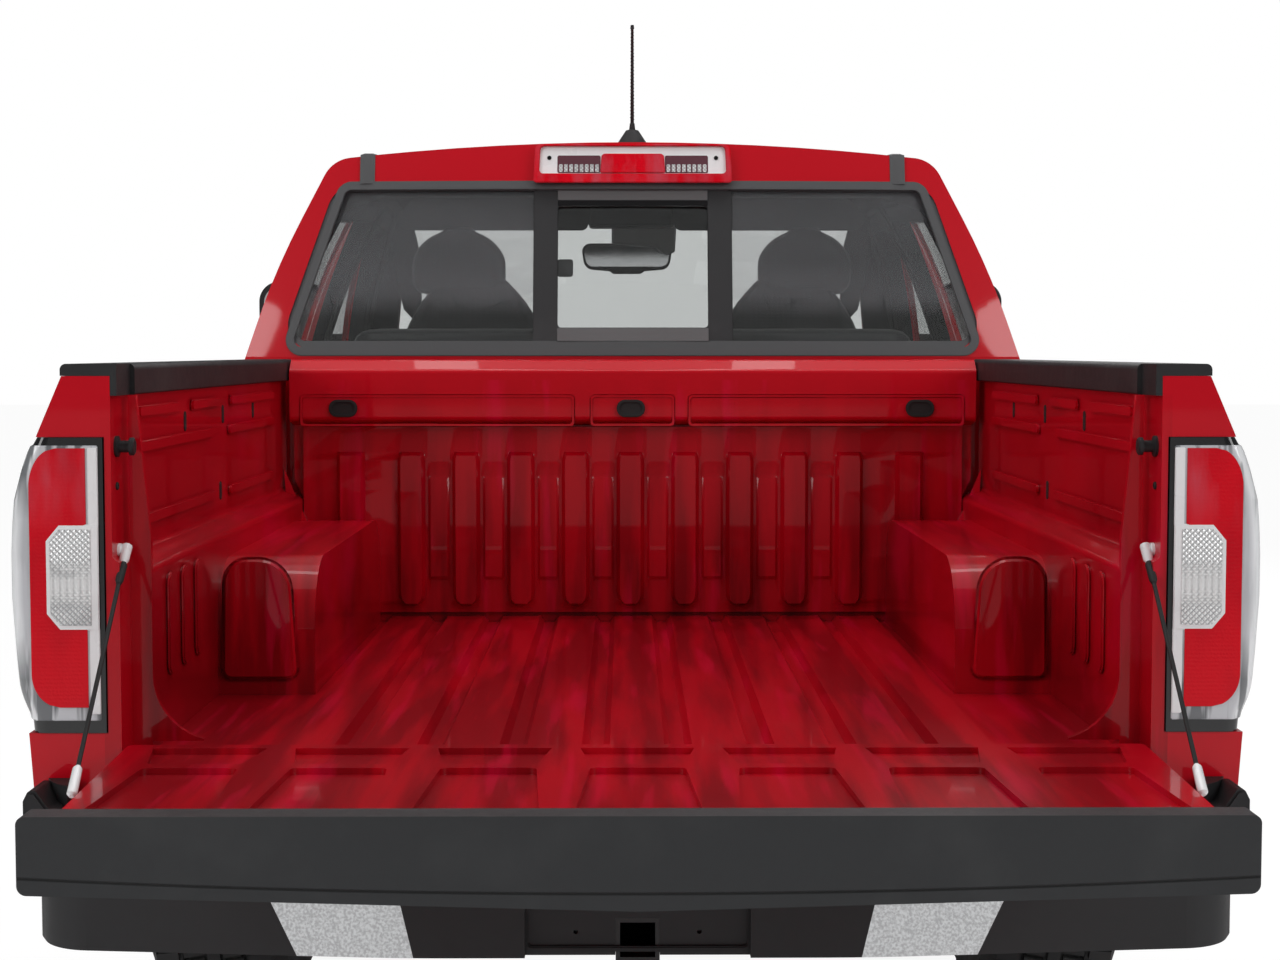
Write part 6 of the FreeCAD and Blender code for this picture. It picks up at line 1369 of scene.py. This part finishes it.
def make_tread(y):
    """Five rows of blocks, and lugs over both shoulders."""
    shape = bmesh.new()
    # Each row: from, to, its shift and half width in blocks, and how far its blocks slant
    rows = ((-0.108, -0.066, 0.5, 0.30, 0.12), (-0.056, -0.018, 0.0, 0.34, 0.12), (-0.012, 0.012, 0.5, 0.36, 0.0),
            (0.018, 0.056, 0.0, 0.34, 0.12), (0.066, 0.108, 0.5, 0.30, 0.12))
    for low, high, shift, half, slant in rows:
        for step in range(TREAD_COUNT):
            corners = []
            for run, lead in ((low, -slant), (high, slant)):
                for side in (-half, half):
                    top = 0.3848 - max(0.0, abs(run) - 0.085) * 0.18
                    turn = step + shift + side + lead
                    corners += [wheel_point(y, run, radius, turn) for radius in (TREAD - 0.006, top)]
            add_block(shape, corners, ((1, 3, 7, 5), (0, 1, 5, 4), (2, 6, 7, 3), (0, 2, 3, 1), (4, 5, 7, 6)))
    lug = ((0.1285, 0.343), (0.1085, 0.3805), (0.100, 0.372), (0.120, 0.343))
    for step in range(TREAD_COUNT):
        for side in (-1, 1):
            corners = [wheel_point(y, side * run, radius, step + 0.5 + offset)
                       for offset in (-0.28, 0.28) for run, radius in lug]
            add_block(shape, corners, ((0, 1, 5, 4), (1, 2, 6, 5), (0, 3, 2, 1), (4, 5, 6, 7), (0, 4, 7, 3)))
    return shape


def make_wheel(place, y):
    body = f"wheel_{place}_right"
    tyre = (f"tyre_{place}_right",)
    make_pair(f"tyre_casing_{place}", make_casing(y), TYRE, body, stands_for=tyre)
    make_pair(f"tyre_tread_{place}", make_tread(y), TYRE, body, stands_for=tyre)
    hub = touch(f"rim_{place}_right", (1.2, y, WHEEL_Z + 0.02), (-1, 0, 0))
    hub_x = hub.x - 0.001
    cap = [(0.0, 0.0), (0.0, 0.036), (0.010, 0.036), (0.016, 0.032), (0.018, 0.026), (0.0205, 0.010),
           (0.021, 0.0)]
    make_pair(f"hub_cap_{place}", lathe(cap, (hub_x, y, WHEEL_Z), "x", 32), ALLOY, body)
    nut = [(0.0, 0.0), (0.0, 0.0118), (0.003, 0.0125), (0.016, 0.0108), (0.020, 0.007), (0.020, 0.0)]
    circle = 0.055
    nuts = [lathe(nut, (hub_x, y + circle * math.cos(angle), WHEEL_Z + circle * math.sin(angle)), "x", 6)
            for angle in (math.pi * step / 3 + 0.3 for step in range(6))]
    make_pair(f"wheel_nuts_{place}", joined(*nuts), CHROME, body, bevel=0.0008)
    valve = [(0.875, y + 0.200, WHEEL_Z + 0.03), (0.885, y + 0.198, WHEEL_Z + 0.03),
             (0.898, y + 0.194, WHEEL_Z + 0.029)]
    make_pair(f"valve_{place}", pipe(valve, [0.004, 0.0045, 0.003], 8), RUBBER, body)


make_wheel("front", FRONT_AXLE)
make_wheel("rear", REAR_AXLE)


# Outside: handles, mirror glass, wipers, fuel flap and the front end's lamps and mesh
def make_door_handle(name, door, low, high):
    skin = touch(door, (2.0, (low + high) / 2, 1.035), (-1, 0, 0))
    half = [(-0.004, 0.0, 1.035), (0.018, 0.012, 1.036), (0.027, 0.050, 1.037)]
    bar = [(skin.x + out, low + run, z) for out, run, z in half]
    bar += [(skin.x + out, high - run, z) for out, run, z in reversed(half)]
    shape = pipe(bar, [0.012, 0.014, 0.0135, 0.0135, 0.014, 0.012], 12, 0.62)
    make_pair("door_handle_" + name, shape, PAINT, door)
    cup = box_outline(low + 0.015, high - 0.015, 1.008, 1.062, 0.022, 6)
    panel_pair("handle_cup_" + name, cup, flat("x", skin.x), -0.004, 0.0012, GLOSS_BLACK, door, bevel=0.0008)


def make_mirror_glass():
    low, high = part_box("mirror_right")
    face = rounded([(low.x + 0.105, low.z + 0.030, 0.03), (high.x - 0.014, low.z + 0.022, 0.045),
                    (high.x - 0.014, high.z - 0.016, 0.045), (low.x + 0.105, high.z - 0.016, 0.03)], 7)
    panel_pair("mirror_glass", face, flat("y", low.y), -0.0006, 0.003, LAMP_CHROME, "door_front_right",
               bevel=0.0006)


def make_wiper(name, foot, tip):
    blade = []
    for step in range(13):
        z = 1.175 + 0.035 * math.sin(math.pi * step / 12)
        point = touch("windshield", (foot + (tip - foot) * step / 12, 3.0, z), (0, -1, 0))
        if point:
            blade.append(point + Vector((0, 0.010, 0.006)))
    make_piece("wiper_blade_" + name, pipe(blade, 0.006, 8), RUBBER)
    lifts = ((0, 0.0, 0.03, -0.03), (3, 0.0, 0.016, 0.0), (6, 0.0, 0.008, 0.004))
    arm = [blade[index] + Vector(lift) for index, *lift in lifts]
    make_piece("wiper_arm_" + name, pipe(arm, [0.010, 0.007, 0.005], 8), BLACK_TRIM)


def make_fuel_flap():
    y, z = -1.93, 1.02
    skin = touch("box_side_left", (-2.0, y, z), (1, 0, 0))
    outer = box_outline(y - 0.075, y + 0.075, z - 0.075, z + 0.060, 0.02)
    inner = box_outline(y - 0.0735, y + 0.0735, z - 0.0735, z + 0.0585, 0.0185)
    # A thin dark ring along the flap's edge, as painted shade in its gap
    make_piece("fuel_flap_gap", ring(outer, inner, flat("x", skin.x), -0.0006, 0.004), RUBBER)


def make_front_end():
    bowl = [(-0.006, 0.0), (-0.005, 0.018), (-0.007, 0.034), (-0.012, 0.042), (-0.020, 0.044), (-0.020, 0.0)]
    for x in (0.645, 0.765):
        front = touch("headlamps", (x, 4.0, 0.872), (0, -1, 0))
        make_pair(f"headlamp_bowl_{int(x * 1000)}", lathe(bowl, (x, front.y, 0.872), "y", 28), LAMP_CHROME)
    low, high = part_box("grille")
    behind = flat("y", high.y - 0.050)
    bars = [slab(box_outline(x - 0.0025, x + 0.0025, low.z + 0.032, high.z - 0.032), behind, 0.0, 0.006)
            for x in (-0.500 + step * 0.040 for step in range(26))]
    make_piece("grille_mesh", joined(*bars), BLACK_TRIM)
    lamp_x, lamp_z, radius = 0.62, 0.535, 0.054
    front, inner = (touch("front_bumper", (x, 4.0, lamp_z), (0, -1, 0)) for x in (lamp_x, lamp_x - radius))
    fog = [(0.007, 0.0), (0.006, 0.030), (0.003, 0.040), (0.007, 0.044), (0.006, 0.052),
           (-0.007, radius), (-0.007, 0.0)]
    lamp = lathe(fog, (0, 0, 0), "y", 28)
    turned = Matrix.Rotation(-math.atan2(inner.y - front.y, radius), 4, "Z")
    bmesh.ops.transform(lamp, matrix=Matrix.Translation((lamp_x, front.y, lamp_z)) @ turned, verts=lamp.verts)
    make_pair("fog_lamp", lamp, LAMP_CHROME)


make_door_handle("front", "door_front_right", 0.215, 0.400)
make_door_handle("rear", "door_rear_right", -0.535, -0.350)
make_mirror_glass()
make_wiper("right", 0.05, 0.62)
make_wiper("left", -0.66, -0.06)
make_fuel_flap()
make_front_end()


# Rear bumper: plate recess, step treads and corner steps
def make_bumper_details():
    face = touch("rear_bumper", (0.10, -4.0, 0.55), (0, 1, 0))
    outer = box_outline(-0.168, 0.168, 0.436, 0.512, 0.010)
    inner = box_outline(-0.158, 0.158, 0.444, 0.504, 0.006)
    rim = ring(outer, inner, flat("y", face.y), -0.006, 0.001)
    make_piece("plate_recess_rim", rim, BLACK_TRIM, bevel=0.002)
    pitch = 0.022
    for name, low, high in (("middle", -0.31, 0.31), ("right", 0.56, 0.80), ("left", -0.80, -0.56)):
        treads = []
        for step in range(int((high - low) / pitch)):
            x = low + pitch / 2 + step * pitch
            above = (x, -2.44, 0.9)
            top = touch("bumper_pads", above, (0, 0, -1)) or touch("rear_bumper", above, (0, 0, -1))
            if top:
                tread = box_outline(x - 0.006, x + 0.006, -2.462, -2.392, 0.004)
                treads.append(slab(tread, flat("z", top.z), -0.001, 0.0035))
        if treads:
            make_piece("step_tread_" + name, joined(*treads), BLACK_TRIM, bevel=0.001)
    corner = rounded([(0.836, 0.600, 0.004), (0.8845, 0.600, 0.004), (0.8845, 0.652, 0.006),
                      (0.877, 0.667, 0.006), (0.866, 0.667, 0.004), (0.848, 0.641, 0.010),
                      (0.836, 0.638, 0.004)], 4)
    panel_pair("bumper_corner", corner, flat("y"), -2.470, -2.385, BLACK_TRIM, bevel=0.004)


make_bumper_details()
